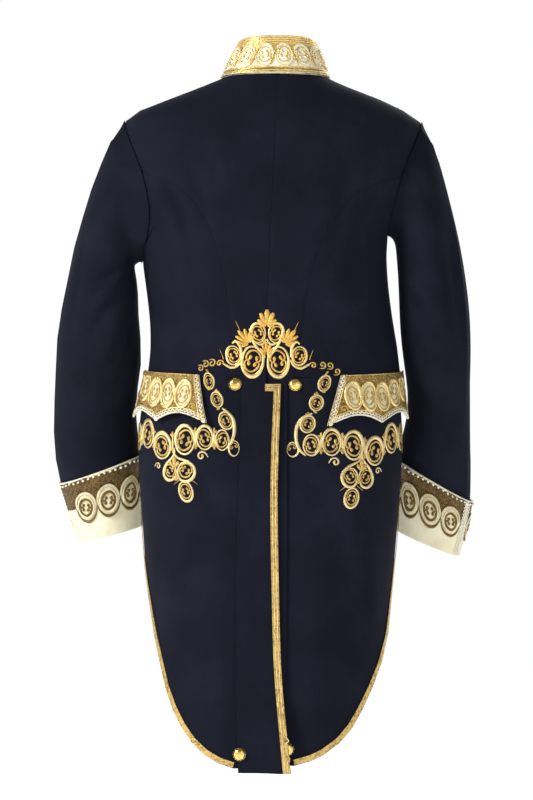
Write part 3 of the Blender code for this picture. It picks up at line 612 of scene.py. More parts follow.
def tape_row(tree, height, way):
    """What a tape laid round the coat from the centre back meets at a height: the angles, the
    lengths from the start, and the points of the tree that lie over or on the coat there."""
    angles, arcs, points = [], [], []
    total, last = 0.0, None
    for turn in range(0, 175):
        angle = math.radians(turn) * way
        out = Vector((math.sin(angle), -math.cos(angle), 0))
        start = (AXIS + out * REACH + Vector((0, 0, height))) * MM
        on_coat = coat_tree.ray_cast(start, -out, REACH * MM)[0]
        if on_coat is None:
            continue
        on_piece = on_coat if tree is coat_tree else tree.ray_cast(start, -out, REACH * MM)[0]
        total += (on_coat - last).length / MM if last else 0.0
        last = on_coat
        if on_piece is not None:
            angles.append(angle)
            arcs.append(total * way)
            points.append(on_piece)
    return angles, arcs, points


def tape_chart(tree, sides, reach_across, heights):
    """A chart measured round the coat with a tape, from the centre back to the sides given."""
    across = np.arange(reach_across[0], reach_across[1] + CHART_STEP, CHART_STEP)
    up = np.arange(heights[0], heights[1] + CHART_STEP, CHART_STEP)
    places, lengths = {}, {}
    for row, height in enumerate(up):
        for way in sides:
            for angle, arc, point in zip(*tape_row(tree, height, way)):
                places[row, angle] = point
                lengths[row, angle] = arc
    # A tape runs evenly over the small steps of the seams, so each length is the mean of its rows
    evened = {}
    for row, angle in lengths:
        near = [lengths.get((row + n, angle)) for n in range(-EVEN_ROWS, EVEN_ROWS + 1)]
        if None in near:
            near = [lengths[row, angle]]
        evened[row, angle] = sum(near) / len(near)
    grid = np.zeros((len(up), len(across), 3))
    reached = np.zeros((len(up), len(across)), bool)
    for row in range(len(up)):
        met = sorted((evened[key], key) for key in evened if key[0] == row)
        if len(met) > 2:
            met_arcs = np.array([arc for arc, _ in met])
            grid[row] = resampled(np.array([places[key] for _, key in met]), met_arcs, across)
            reached[row] = np.abs(across[:, None] - met_arcs).min(axis=1) < ARC_GAP
    # Where a row misses the pieces, the chart runs straight on from the nearest row that meets them
    columns = np.nonzero(reached.any(axis=0))[0]
    for column in columns:
        good = np.nonzero(reached[:, column])[0]
        for row in np.nonzero(~reached[:, column])[0]:
            near = good[np.abs(good - row).argmin()]
            grid[row, column] = grid[near, column] + np.array((0, 0, (up[row] - up[near]) * MM))
    for column in set(range(len(across))) - set(columns.tolist()):
        grid[:, column] = grid[:, columns[np.abs(columns - column).argmin()]]
    return grid_chart(grid, across, up)


def finished(piece, place, material, smooth=60):
    """Lays a flat piece on its chart, and gives it what every piece needs."""
    put_points(piece, place(points_of(piece)))
    piece.data.materials.clear()
    piece.data.materials.append(material)
    only(piece)
    bpy.ops.object.shade_smooth_by_angle(angle=math.radians(smooth))
    return ready(piece)


def cords(name, strokes, place, material, flat=FLATNESS, sink=SINK):
    """Laid cords: each stroke is a row of (across, up, half width) points in mm on a chart."""
    line = new_line(name, 1.0, CORD_SIDES)
    line.twist_mode = "Z_UP"
    line.resolution_u = CORD_STEPS
    for stroke in strokes:
        closed = stroke[0] == "closed"
        rows = stroke[1:] if closed else stroke
        spline = line.splines.new("BEZIER")
        spline.bezier_points.add(len(rows) - 1)
        spline.use_cyclic_u = closed
        for point, (x, y, half) in zip(spline.bezier_points, rows):
            point.co = (x, y, 0)
            point.radius = half
            point.handle_left_type = point.handle_right_type = "AUTO"
    piece = line_mesh(name, line)
    only(piece)
    mode("EDIT")
    bpy.ops.mesh.select_all(action="SELECT")
    bpy.ops.mesh.remove_doubles(threshold=0.001)
    bpy.ops.mesh.normals_make_consistent(inside=False)
    mode("OBJECT")
    shape = points_of(piece)
    shape[:, 2] = shape[:, 2] * flat + sink
    put_points(piece, shape)
    return finished(piece, place, material)


def turned(points, x, y, across=1.0, up=1.0, turn=0.0, thick=1.0):
    """A stroke in a unit size, sized, turned and put at a place."""
    c, s = math.cos(math.radians(turn)), math.sin(math.radians(turn))
    made = []
    for px, py, half in points:
        wide, high = px * across, py * up
        made.append((x + wide * c - high * s, y + wide * s + high * c, half * thick))
    return made


# One half of a whirl's arch, in units of its oval: from the middle of the arch round into its knot
CURL = (
    (0.00, 0.88, 0.095), (0.38, 0.79, 0.115), (0.70, 0.54, 0.125), (0.84, 0.20, 0.110), (0.68, 0.03, 0.080),
    (0.47, 0.07, 0.100), (0.37, 0.24, 0.195), (0.35, 0.32, 0.200), (0.34, 0.43, 0.110),
)


def whirl(x, y, across, up, turn=0.0, weight=1.0):
    """Two arches in an oval, each with both ends curled into knots."""
    strokes = []
    for way in (1, -1):
        half = [(px, py * way, r * weight) for px, py, r in CURL]
        arch = [(-px, py, r) for px, py, r in reversed(half[1:])] + half
        strokes.append(turned(arch, x, y, across, up, turn, min(across, up)))
    return strokes


def band(x, y, across, up, heavy, thick, thin=0.07, turn=0.0, points=14):
    """An oval band that swells towards the angle heavy."""
    rows = ["closed"]
    size = min(across, up)
    for n in range(points):
        angle = 2 * math.pi * n / points
        swell = (0.5 + 0.5 * math.cos(angle - math.radians(heavy))) ** 1.6
        half = size * (thin + (thick - thin) * swell)
        reach = ((across - half) * math.cos(angle), (up - half) * math.sin(angle), half)
        rows += turned([reach], x, y, turn=turn)
    return rows


def roundel(x, y, across, up, heavy=-90, thick=0.17, turn=0.0, whirl_turn=0.0, thin=0.08):
    """An oval of a swelling outer band, and in it a whirl of two arches, set off from the heavy side."""
    shift = min(across, up) * (thick - thin) * 0.95
    dx, dy = (-math.cos(math.radians(heavy)) * shift, -math.sin(math.radians(heavy)) * shift)
    ((cx, cy, _),) = turned([(dx, dy, 0)], x, y, turn=turn)
    room = 1 - 2 * thin - 0.02 - (thick - thin) * 0.75
    outer = band(x, y, across, up, heavy, thick, thin, turn)
    return [outer], whirl(cx, cy, across * room, up * room, turn + whirl_turn)


def add_roundel(*row):
    """A roundel with its band in the bright thread and its whirl in the mellow one."""
    outer, inner = roundel(*row)
    bright.extend(outer)
    mellow.extend(inner)


def leaf(x, y, size, turn, lobes):
    """A leaf of rounded lobes that fan out from its foot; lobes are (angle, length, width)."""
    strokes = []
    for angle, length, width in lobes:
        shares = ((0.4, 0.9), (0.74, 1.0), (0.94, 0.5))
        stroke = [(0, 0.05, width * 0.5)] + [(0, length * far, width * swell) for far, swell in shares]
        strokes.append(turned(stroke, x, y, size, size, turn + angle, size))
    return strokes


PALMETTE = (
    (0, 1, 0.155), (28, 0.88, 0.14), (-28, 0.88, 0.14), (56, 0.68, 0.13), (-56, 0.68, 0.13),
    (84, 0.44, 0.10), (-84, 0.44, 0.10),
)
OAK_LEAF = (
    (0, 1, 0.12), (22, 0.90, 0.105), (-22, 0.90, 0.105), (45, 0.72, 0.10), (-45, 0.72, 0.10),
    (72, 0.48, 0.09), (-72, 0.48, 0.09),
)
BUD = ((0, 1.0, 0.20), (40, 0.72, 0.16), (-40, 0.72, 0.16))
KNOT = ((-0.25, -0.82, 0.21), (0.60, -0.55, 0.22), (0.80, 0.15, 0.21), (0.35, 0.62, 0.19))
KNOT += ((-0.18, 0.38, 0.20), (-0.12, -0.05, 0.28), (0.05, -0.08, 0.26))


def curl(x, y, size, turn=0.0, way=1, tail=1.0):
    """A short tail that curls round into a knot, its middle at the place given."""
    points = ((-1.6 * tail, 0.35, 0.10), (-1.05 * tail, -0.45, 0.17), *KNOT)
    return turned([(px, py * way, r) for px, py, r in points], x, y, size, size, turn, size)


def sprig(x, y, end_x, end_y, half=0.55):
    return [(x, y, half), ((x + end_x) / 2, (y + end_y) / 2, half * 0.9), (end_x, end_y, half * 0.35)]


thread_gold = new_gold("gold_thread_laid", (0.16, 0.08, 0.012), (0.78, 0.47, 0.11), (0.26, 0.44), 520, 0.0003)
PALE_TONES = ((0.34, 0.20, 0.045), (0.92, 0.72, 0.31))
pale_gold = new_gold("gold_thread_bright", *PALE_TONES, (0.22, 0.38), 520, 0.00026, 0.8)

coat_place = tape_chart(coat_tree, (-1, 1), (-292, 292), (-625, -325))
bright, mellow = [], []
for row in (
    (-26.0, -407.5, 16.6, 23.0, -90, 0.19, 0, -12),
    (11.2, -408.0, 16.4, 23.2, -90, 0.19, 0, 12),
    (-17.4, -366.5, 11.6, 14.8, 120, 0.17, 6, 20),
    (8.8, -366.5, 11.6, 14.8, 60, 0.17, -6, -20),
    (-53.2, -398.0, 11.6, 14.0, 190, 0.13, 8, 20),
    (41.2, -399.0, 11.6, 14.0, -10, 0.13, -8, -20),
):
    add_roundel(*row)
HOOK = (
    (-53.6, -381.4, 1.1), (-48.4, -378.4, 2), (-43.7, -382.6, 2.3), (-41.7, -392.1, 1.9),
    (-41.4, -400, 1.4),
)
FOOT = (
    (-40.4, -403.4, 1.2), (-45, -411.2, 1.6), (-54.6, -415, 1.9), (-62.8, -411.6, 1.5),
    (-67.5, -408.8, 1),
)
TAPER = ((-28.2, -361, 1.3), (-26.6, -372, 1.9), (-22.6, -381, 2), (-16.4, -391, 1.7), (-7.4, -402.5, 1.2))
CRADLE = ((-5.8, -375.5, 0.9), (-8.6, -380.4, 1.4), (-13.6, -383, 1.6), (-19.4, -380.6, 1.1))
for way, outer_middle, inner_middle, drop in ((1, 0.0, 0.0, 0.0), (-1, -12.0, -10.4, -1.0)):
    for stroke in (HOOK, FOOT):
        bright.append([(outer_middle + x * way, y + drop, half) for x, y, half in stroke])
    for stroke in (TAPER, CRADLE):
        bright.append([(inner_middle + x * way, y, half) for x, y, half in stroke])
mellow += [curl(-71.8, -408.6, 4.4, 180, 1, 0.9), curl(60.0, -411.6, 4.4, 0, -1, 0.9)]
mellow += [sprig(-67.4, -403.5, -72.4, -389.5, 0.45), sprig(55.2, -404.5, 60.2, -390.5, 0.45)]
mellow += leaf(-4.6, -357.5, 24.5, 0, PALMETTE)
mellow += leaf(-5.4, -398.0, 20.0, 0, OAK_LEAF)
mellow += leaf(-29.5, -381.5, 25.0, 40, OAK_LEAF)
mellow += leaf(20.0, -381.5, 25.0, -40, OAK_LEAF)
mellow += [sprig(-42.5, -362.5, -48.5, -350.0, 0.45), sprig(33.1, -365.0, 39.5, -352.0, 0.45)]
cords("back_scrolls_bright", bright, coat_place, pale_gold)
cords("back_scrolls_mellow", mellow, coat_place, thread_gold)

# Goldwork round the two hip pockets, in duller gilt threads: a column of roundels on each side of the
# flap, a row below it and a pendant under the middle. What the flap hides is made like the rest.
dull_gold = new_gold("gold_thread_dull", (0.11, 0.065, 0.013), (0.62, 0.42, 0.13), (0.28, 0.46), 520, 0.0003)
worn_gold = new_gold("gold_thread_worn", (0.26, 0.18, 0.06), (0.83, 0.67, 0.34), (0.26, 0.44), 520, 0.0003)
POCKETS = {
    "left": {
        "column": ((87.3, -433.8, 7.9, 12.4), (75.4, -459.2, 8.9, 11.8), (62.6, -488.3, 10.7, 13.6)),
        "fore": ((240, -434, 7.9, 12.4), (251, -460, 8.9, 11.8), (264, -489, 10.7, 13.6)),
        "row": (
            (68, -515.3, 10.4, 14.8), (92.7, -511.5, 13, 18), (122.9, -514.6, 16.4, 21.9),
            (160.4, -522.7, 17.2, 20), (192, -506.8, 16.6, 21), (229, -511, 16, 20), (258, -519, 11.5, 17),
        ),
        "ring": (52.0, -526.7, 8.2, 11.4),
        "sweep": ((68.0, -471.5), (54.5, -484.0), (50.6, -500.0), (53.8, -515.3), (61.3, -525.9)),
        "curls": ((99.2, -415.2, 4.4), (92.2, -409.6, 4.8), (83.2, -408.0, 5.2)),
        "lone": ((97.1, -536.9, 6.2, 1), (168.4, -551.6, 4.6, -1)),
        "join": (139.1, -532.2),
        "rings": ((146.1, -558.6, 11.0, 12.6), (121.0, -558.3, 13.4, 14.4)),
        "bud": (136.0, -552.0),
        "last": (120.7, -587.0, 11.4, 15.4),
    },
    "right": {
        "column": ((78, -436.8, 9.4, 12), (67.5, -463.9, 10.6, 11.8), (55.3, -493, 11.3, 13)),
        "fore": ((238, -436, 8.6, 12.2), (249, -462, 9.6, 11.8), (262, -491, 10.9, 13.3)),
        "row": (
            (60.6, -522.1, 12.6, 15.6), (89, -517.7, 14.6, 19.8), (121.6, -522.4, 16.2, 21.4),
            (155.8, -530.4, 16.8, 21.2), (190.2, -513, 16.8, 22), (226, -512, 16, 20), (254, -519, 11.5, 17),
        ),
        "ring": (34.6, -528.4, 9.2, 10.8),
        "sweep": ((61.5, -478.5), (45.5, -487.5), (38.6, -506.0), (43.6, -528.2), (52.4, -536.9)),
        "curls": ((73.8, -411.8, 5.0), (84.4, -412.6, 5.0), (94.4, -421.0, 4.8)),
        "lone": ((93.5, -545.3, 6.2, 1), (161.8, -558.5, 4.6, -1)),
        "join": (133.9, -536.3),
        "rings": ((140.1, -567.2, 11.6, 14.2), (115.9, -566.2, 12.4, 14.0)),
        "bud": (129.0, -556.5),
        "last": (118.0, -596.1, 11.8, 15.2),
    },
}
LEANS = (14.4, 19.2, 24.0)
# The heavy side and the thickness of each band in the row below a flap
ROW_BANDS = ((0, 0.13), (90, 0.17), (45, 0.18), (100, 0.18), (90, 0.16), (90, 0.16), (90, 0.15))
for side, way in SIDES:
    pocket = POCKETS[side]
    column, low_row, last = pocket["column"], pocket["row"], pocket["last"]
    bright, mellow = [], []
    for part, lean_way in ((column, -way), (pocket["fore"], way)):
        for (x, y, across, up), lean in zip(part, LEANS):
            add_roundel(x * way, y, across, up, 90 + way * 80, 0.15, lean_way * lean, 0, 0.10)
    for n, ((x, y, across, up), (heavy, thick)) in enumerate(zip(low_row, ROW_BANDS)):
        heavy = heavy if way > 0 else 180 - heavy
        add_roundel(x * way, y, across, up, heavy, thick, 0, way * (-20 if n % 2 else 20))
    for (x, y, *_), (next_x, next_y, *_) in zip(column, column[1:]):
        mid_x, mid_y = (x + next_x) / 2, (y + next_y) / 2
        for out in (-1, 1):
            mellow += leaf(mid_x * way + out * 2.5, mid_y + out * way * 1.2, 7.0, -out * 72 + way * 20, BUD)
    for (x, y, across, _), (next_x, next_y, next_across, _) in zip(low_row, low_row[1:]):
        gap_x, gap_y = (x + across + next_x - next_across) / 2, (y + next_y) / 2
        for up in (-1, 1):
            mellow += leaf(gap_x * way, gap_y + up * 7, 8.5, 0 if up > 0 else 180, BUD)
        bright.append([(gap_x * way, gap_y + rise, half) for rise, half in ((-8, 0.9), (0, 1.7), (8, 0.9))])
    widths = (1.2, 2.2, 2.6, 2.2, 1.2)
    bright.append([(x * way, y, half) for (x, y), half in zip(pocket["sweep"], widths)])
    x, y, across, up = pocket["ring"]
    outer, inner = roundel(x * way, y, across, up, 90 - way * 90, 0.17, 0, 15)
    bright += outer
    mellow += inner[:1]
    for x, y, size in pocket["curls"]:
        mellow.append(curl(x * way, y, size, 60 * way, way, 0.7))
    x, y = column[0][:2]
    mellow.append([(x * way, y + 11, 1.4), ((x + 3.5) * way, y + 16.5, 1.1)])
    for x, y, size, turn_way in pocket["lone"]:
        bright.append(curl(x * way, y, size, 90 - way * turn_way * 90, -way * turn_way, 0.9))
    join_x, join_y = pocket["join"]
    for (x, y, across, up), lean in zip(pocket["rings"], (-1, 1)):
        mellow += roundel(x * way, y, across, up, -90, 0.15, lean * way * 16, lean * way * 18)[1]
        aside = 1 if x > join_x else -1
        reach = [(join_x, join_y + 6, 0.9), (join_x, join_y - 3, 1.6)]
        reach += [(x + aside * across * 0.72, y + up * 0.62, 1.9), (x + aside * across, y - up * 0.1, 2.2)]
        reach += [(x + aside * across * 0.62, y - up * 0.82, 2.4), (x - aside * 2, y - up, 1.9)]
        reach += [(x - aside * across * 0.75, y - up * 0.62, 1.4), (x - aside * across * 0.92, y, 1.2)]
        reach += [(x - aside * across * 0.5, y + up * 0.72, 1.1), (x + aside * 1.0, y + up * 0.86, 1.0)]
        bright.append([(px * way, py, half) for px, py, half in reach])
    mellow += leaf(join_x * way, join_y - 22, 17, 0, BUD)
    x, y, across, up = last
    add_roundel(x * way, y, across, up, -90, 0.17, -way * 14, 0, 0.10)
    mellow += leaf(pocket["bud"][0] * way, pocket["bud"][1] - 20, 12, 0, BUD)
    for out in (-1, 1):
        start_x, start_y = x * way + out * 8, y + 17
        mellow.append(sprig(start_x, start_y, start_x + out * 10, start_y - 7))
    cords("pocket_scrolls_bright_" + side, bright, coat_place, worn_gold)
    cords("pocket_scrolls_mellow_" + side, mellow, coat_place, dull_gold)


# Embroidery of the pocket flaps: a ground of gold purl over the whole face, cream silk ovals with
# gilt whirls in cream-gold rings, and a white braid with its piping along the rear and lower edges.
def new_purl(name, dark, light, scale, metallic):
    """Cut purl: short curls of gilt wire sewn down close like grains, some catching the light."""
    look = Look(name, Metallic=metallic, Specular_IOR_Level=0.5)
    grains = look.add("TexVoronoi", Vector=look.place, Scale=scale).outputs
    tones = look.add("SeparateColor", Color=grains["Color"]).outputs
    middle = tuple((a + b) / 2.6 for a, b in zip(dark, light))
    mixed = look.mix(0.45, tones["Red"], look.noise(70, 4))
    colour = look.ramp(mixed, (0.2, dark), (0.55, middle), (0.85, light))
    return look.finish(colour, (tones["Green"], 0.25, 0.6), grains["Distance"], 1.0, 0.0007, True)


def new_silk(name, dark, light, shine):
    """Floss silk or padded silk cord, laid in close parallel threads."""
    look = Look(name, Specular_IOR_Level=shine, Sheen_Weight=0.2, Sheen_Roughness=0.4)
    threads = look.wave(620, "DIAGONAL", 1.0)
    colour = look.ramp(look.noise(60, 4, 0.6), (0.32, dark), (0.62, light))
    return look.finish(colour, (threads, 0.4, 0.62), threads, 0.5, 0.0002)


flap_purl = new_purl("gold_purl", (0.13, 0.07, 0.012), (0.78, 0.54, 0.18), 900, 0.7)
white_silk = new_silk("white_silk_braid", (0.70, 0.66, 0.50), (0.86, 0.84, 0.72), 0.35)
cream_silk = new_silk("cream_silk_padded", (0.60, 0.50, 0.27), (0.83, 0.76, 0.52), 0.4)
FACE_LEAST = 0.25
FACE_THICK = 0.35
RIM_ROOM = 4
EDGE_LEAN = 1.5
OVAL_THICK = 0.5
OVAL_CORNERS = 28
OVAL_SINK = 0.25


def facing(name, source, out):
    """The outer faces of a piece as a thin layer of their own, a little way out."""
    layer = source.copy()
    layer.data = source.data.copy()
    layer.name = name
    bpy.context.scene.collection.objects.link(layer)
    only(layer)
    mode("EDIT")
    bpy.ops.mesh.select_mode(type="FACE")
    bpy.ops.mesh.select_all(action="DESELECT")
    mode("OBJECT")
    for face in layer.data.polygons:
        level = face.center - AXIS * MM
        level.z = 0
        face.select = face.normal.dot(level.normalized()) < FACE_LEAST
    mode("EDIT")
    bpy.ops.mesh.delete(type="FACE")
    mode("OBJECT")
    finish_with(layer, "DISPLACE", strength=out * MM, mid_level=0)
    return layer


def rim_of(layer):
    """The open layer's longest rim, as points in order."""
    edges = {}
    sides = {}
    for face in layer.data.polygons:
        for key in face.edge_keys:
            sides[key] = sides.get(key, 0) + 1
    for (a, b), count in sides.items():
        if count == 1:
            edges.setdefault(a, []).append(b)
            edges.setdefault(b, []).append(a)
    loops = []
    while edges:
        start = next(iter(edges))
        loop, here = [], start
        while here in edges and edges[here]:
            loop.append(here)
            following = edges[here].pop()
            edges[following].remove(here)
            here = following
        for key in [k for k, left in edges.items() if not left]:
            del edges[key]
        loops.append(loop)
    return [layer.data.vertices[n].co.copy() for n in max(loops, key=len)]


def tape_place(point, rows):
    """Where a point lies on the tape chart, as (across, up) in mm."""
    turn = math.atan2(point.x - AXIS.x * MM, -(point.y - AXIS.y * MM))
    way = 1 if turn > 0 else -1
    height = point.z / MM
    key = (way, round(height / CHART_STEP))
    if key not in rows:
        rows[key] = tape_row(coat_tree, key[1] * CHART_STEP, way)
    angles, arcs, _ = rows[key]
    order = np.argsort(angles)
    return float(np.interp(turn, np.array(angles)[order], np.array(arcs)[order])), height


def charted_rim(layer):
    """A layer's rim on the tape chart, anticlockwise, and what it spans across and up with some room."""
    rows_met = {}
    rim = np.array([tape_place(point, rows_met) for point in rim_of(layer)])
    lows, highs = rim.min(axis=0) - RIM_ROOM, rim.max(axis=0) + RIM_ROOM
    if np.sum(rim[:, 0] * np.roll(rim[:, 1], -1) - np.roll(rim[:, 0], -1) * rim[:, 1]) < 0:
        rim = rim[::-1]
    return rim, tuple(zip(lows, highs))


def stretch(rim, start, end):
    return np.array([rim[(start + n) % len(rim)] for n in range((end - start) % len(rim) + 1)])


def evenly(path, step):
    """A path of points resampled at even steps."""
    path = np.array(path)
    lengths = run_of(path)
    return resampled(path, lengths, np.linspace(0, lengths[-1], max(2, int(lengths[-1] / step) + 1)))


def set_in(path, distance):
    """A path moved to its left-hand side."""
    along = np.gradient(path, axis=0)
    along /= np.maximum(np.linalg.norm(along, axis=1), 1e-9)[:, None]
    return path + np.stack((-along[:, 1], along[:, 0]), axis=1) * distance


def plain_cord(path, half):
    return [(x, y, half) for x, y in path]


def wavy(path, inset, swing, half):
    """A cord that goes to and fro along a path, once per two of its points."""
    inner, outer = set_in(path, inset + swing), set_in(path, inset - swing)
    return [(*(inner[n] if n % 2 else outer[n]), half) for n in range(len(path))]


def oval_grounds(name, ovals, place, material, out):
    """Flat ovals with a rounded rise, laid on a chart: each is (x, y, across, up)."""
    corners, faces = [], []
    around = OVAL_CORNERS
    for x, y, across, up in ovals:
        first = len(corners)
        corners.append((x, y, out + OVAL_THICK))
        for share in (0.45, 0.8, 1.0):
            rise = OVAL_THICK * math.sqrt(max(0.0, 1 - share**2 * 0.95))
            for n in range(around):
                angle = 2 * math.pi * n / around
                spot = (x + across * share * math.cos(angle), y + up * share * math.sin(angle))
                corners.append((*spot, out + rise))
        bottom = len(corners)
        corners += [(px, py, out - OVAL_SINK) for px, py, _ in corners[bottom - around :]]
        for n in range(around):
            following = (n + 1) % around
            faces.append((first, first + 1 + n, first + 1 + following))
            for ring_number in range(3):
                a = first + 1 + around * ring_number
                b = a + around
                faces.append((a + n, b + n, b + following, a + following))
        faces.append(tuple(bottom + n for n in reversed(range(around))))
    mesh = bpy.data.meshes.new(name)
    mesh.from_pydata(corners, [], faces)
    return finished(linked(name, mesh), place, material)


FLAP_RINGS = {
    "left": (
        (-216, -437, 12, 19.5), (-190.9, -442.3, 13, 20.2), (-165.8, -448.1, 12.6, 21.6),
        (-142.4, -450.5, 12.2, 21.6), (-118.4, -450.8, 12.4, 20.8),
    ),
    "right": (
        (114.6, -453.5, 12.4, 21.2), (137.4, -455.3, 12.2, 21.8), (160.3, -454.8, 12.2, 21.6),
        (183.3, -449.7, 12.4, 20.4), (208, -443, 12, 19.5),
    ),
}
FLAP_CURLS = {"left": (-103.5, -468.9, 5.2), "right": (100.3, -473.1, 5.2)}
for side, way in SIDES:
    flap = coat["pocket_flap_" + side]
    layer = facing("flap_ground_" + side, flap, 0.25)
    rim, span = charted_rim(layer)
    finish_with(layer, "SOLIDIFY", thickness=FACE_THICK * MM, offset=-1)
    layer.data.materials.clear()
    layer.data.materials.append(flap_purl)
    ready(layer)
    flap_place = tape_chart(surface_of(flap), (way,), *span)
    # The rim runs round the flap, so it is opened at its upper corners
    rear = int(np.argmin(np.abs(rim[:, 0]) - rim[:, 1] * EDGE_LEAN))
    fore = int(np.argmax(np.abs(rim[:, 0]) + rim[:, 1] * EDGE_LEAN))
    start, end = (fore, rear) if way < 0 else (rear, fore)
    path, top_path = stretch(rim, start, end), stretch(rim, end, start)
    if top_path[:, 1].min() < path[:, 1].min():
        path, top_path = top_path, path
    braid = [plain_cord(set_in(evenly(path, 3.0), 0.9), 0.95), wavy(evenly(path, 2.6), 4.2, 1.25, 0.75)]
    cords("flap_braid_" + side, braid, flap_place, white_silk, 0.8, 0.45)
    ovals = [(x, y, across * 0.92, up * 0.94) for x, y, across, up in FLAP_RINGS[side]]
    oval_grounds("flap_ovals_" + side, ovals, flap_place, cream_silk, 0.4)
    bands = [plain_cord(evenly(set_in(evenly(path, 4.0), 7.2), 4.0), 0.8)]
    bands.append(plain_cord(set_in(evenly(top_path, 3.0), 0.8), 0.5))
    whirls = []
    for n, (x, y, across, up) in enumerate(FLAP_RINGS[side]):
        bands.append(band(x, y, across * 1.07, up, -90 if n % 2 else 90, 0.21, 0.14))
        whirls += whirl(x, y + (1.2 if n % 2 else -1.2), across * 0.68, up * 0.68, way * 12 * (-1) ** n)
    whirls.append(curl(*FLAP_CURLS[side], 90, way, 0.8))
    cords("flap_rings_" + side, bands, flap_place, pale_gold, flat=0.8, sink=0.8)
    cords("flap_whirls_" + side, whirls, flap_place, dull_gold, flat=0.8, sink=0.9)

# Raised edge threads of the vent lace, woven in along both of its sides.
layer = facing("vent_lace_face", coat["vent_lace"], 0.1)
rim, span = charted_rim(layer)
bpy.data.objects.remove(layer)
lace_place = tape_chart(surface_of(coat["vent_lace"]), (-1, 1), *span)
whole = evenly(np.vstack((rim, rim[:1])), 3.0)
edges = [plain_cord(set_in(whole, inset), 0.55) for inset in (0.8, 3.1)]
cords("vent_lace_threads", edges, lace_place, pale_gold, flat=0.8, sink=0.2)

# Embroidery of the cuffs: bronze purl above a row of roundels, and plain cloth below. The roundels
# are padded cream silk with bronze whirls; pearls and a piping run along the upper edge.
CUFF_SPINE = {
    "left": (((-303, -579), (-184, -536), 75, 51), ((-277, -664), (-181, -638), 92, 46)),
    "right": (((291, -606), (182, -542), 78, 51), ((273, -685), (181, -645), 94, 46)),
}
CUFF_REACH = 1.8
BAND_STEPS = 24
PATCH_COLUMNS = 140
PATCH_OUT = 0.2
BEAD_OUT = 0.3
BEAD_RISE = 0.6


def cuff_spoke(side):
    """Rays towards the middle of a cuff; a turn of 0 is the back, and positive turns go to the right."""
    way = -1 if side == "left" else 1
    rows = []
    for (outer_x, outer_z), (inner_x, inner_z), y, depth in CUFF_SPINE[side]:
        outer, inner = Vector((outer_x, y, outer_z)), Vector((inner_x, y, inner_z))
        rows.append(((outer + inner) / 2, (outer - inner) / 2, Vector((0, -depth, 0))))

    def spoke(turn, down):
        centre, across, back = (a + (b - a) * down for a, b in zip(*rows))
        angle = math.radians(90 - turn * way)
        reach = across * math.cos(angle) + back * math.sin(angle)
        return (centre + reach * CUFF_REACH) * MM, centre * MM

    return spoke


def band_chart(tree, spoke, turns, downs, whole=0.0):
    """A chart round a band: up from its lower to its upper edge, across from a turn of 0. Gives the
    placing function, the turns and the lengths round at them, and the height. Turns that meet less
    than the share whole of the usual height, as in a slit, are left out."""
    columns, kept, counts = [], [], []
    for turn in turns:
        hits = []
        for down in downs:
            start, end = spoke(turn, down)
            hit = tree.ray_cast(start, end - start, (end - start).length)[0]
            if hit:
                hits.append(hit)
        if len(hits) > 3:
            counts.append(len(hits))
            hits = np.array(hits)
            lengths = run_of(hits)
            columns.append(resampled(hits, lengths, np.linspace(0, lengths[-1], BAND_STEPS + 1)))
            kept.append(turn)
    full = np.array(counts) >= whole * np.median(counts)
    columns, kept = np.array(columns)[full][:, ::-1], np.array(kept)[full]
    arcs = run_of(columns[:, BAND_STEPS // 2]) / MM
    arcs -= np.interp(0, kept, arcs)
    height = float(np.mean(np.linalg.norm(columns[:, -1] - columns[:, 0], axis=1))) / MM
    across = np.arange(arcs[0], arcs[-1], CHART_STEP)
    grid = np.array([resampled(columns[:, row], arcs, across) for row in range(BAND_STEPS + 1)])
    return grid_chart(grid, across, np.linspace(0, height, BAND_STEPS + 1)), (kept, arcs), height


def patch(name, across, low, high, place, material, rows=14):
    """A thin layer of gilt thread between two heights on a chart."""
    piece, shape = flat_grid(name, PATCH_COLUMNS, rows)
    shape[:, 0] = across[0] + (across[1] - across[0]) * (shape[:, 0] + 1) / 2
    shape[:, 1] = low + (high - low) * (shape[:, 1] + 1) / 2
    shape[:, 2] = PATCH_OUT
    put_points(piece, place(shape))
    finish_with(piece, "SOLIDIFY", thickness=FACE_THICK * MM, offset=-1)
    piece.data.materials.append(material)
    only(piece)
    bpy.ops.object.shade_smooth_by_angle(angle=SHARP)
    return ready(piece)


def beads(name, spots, radius, place, material):
    """Small round beads sewn down on a chart, each at a (across, up) spot."""
    bpy.ops.object.select_all(action="DESELECT")
    bpy.ops.mesh.primitive_ico_sphere_add(subdivisions=2, radius=radius)
    piece = bpy.context.object
    piece.name = name
    shape = points_of(piece)
    faces = [tuple(face.vertices) for face in piece.data.polygons]
    corners = np.vstack([shape + np.array((x, y, BEAD_OUT + radius * BEAD_RISE)) for x, y in spots])
    copies = [tuple(n + k * len(shape) for n in face) for k in range(len(spots)) for face in faces]
    piece.data.clear_geometry()
    piece.data.from_pydata(corners.tolist(), [], copies)
    return finished(piece, place, material, 80)


def arch(x, y, across, up, turns, swell):
    """A stroke along part of an oval; swell gives its half width at an angle."""
    angles = [math.radians(turn) for turn in turns]
    return [(x + across * math.cos(a), y + up * math.sin(a), swell(a)) for a in angles]


bronze = new_gold("bronze_thread", (0.022, 0.013, 0.003), (0.19, 0.115, 0.03), (0.3, 0.5), 520, 0.0003, 0.7)
cuff_purl = new_purl("bronze_purl", (0.016, 0.008, 0.002), (0.30, 0.18, 0.05), 1000, 0.6)
pearl_look = Look("seed_pearl", Specular_IOR_Level=0.6, Coat_Weight=0.3)
tones = pearl_look.noise(120, 3)
pearl_colour = pearl_look.ramp(tones, (0.35, (0.66, 0.60, 0.42)), (0.62, (0.88, 0.85, 0.72)))
pearl = pearl_look.finish(pearl_colour, (tones, 0.2, 0.4))

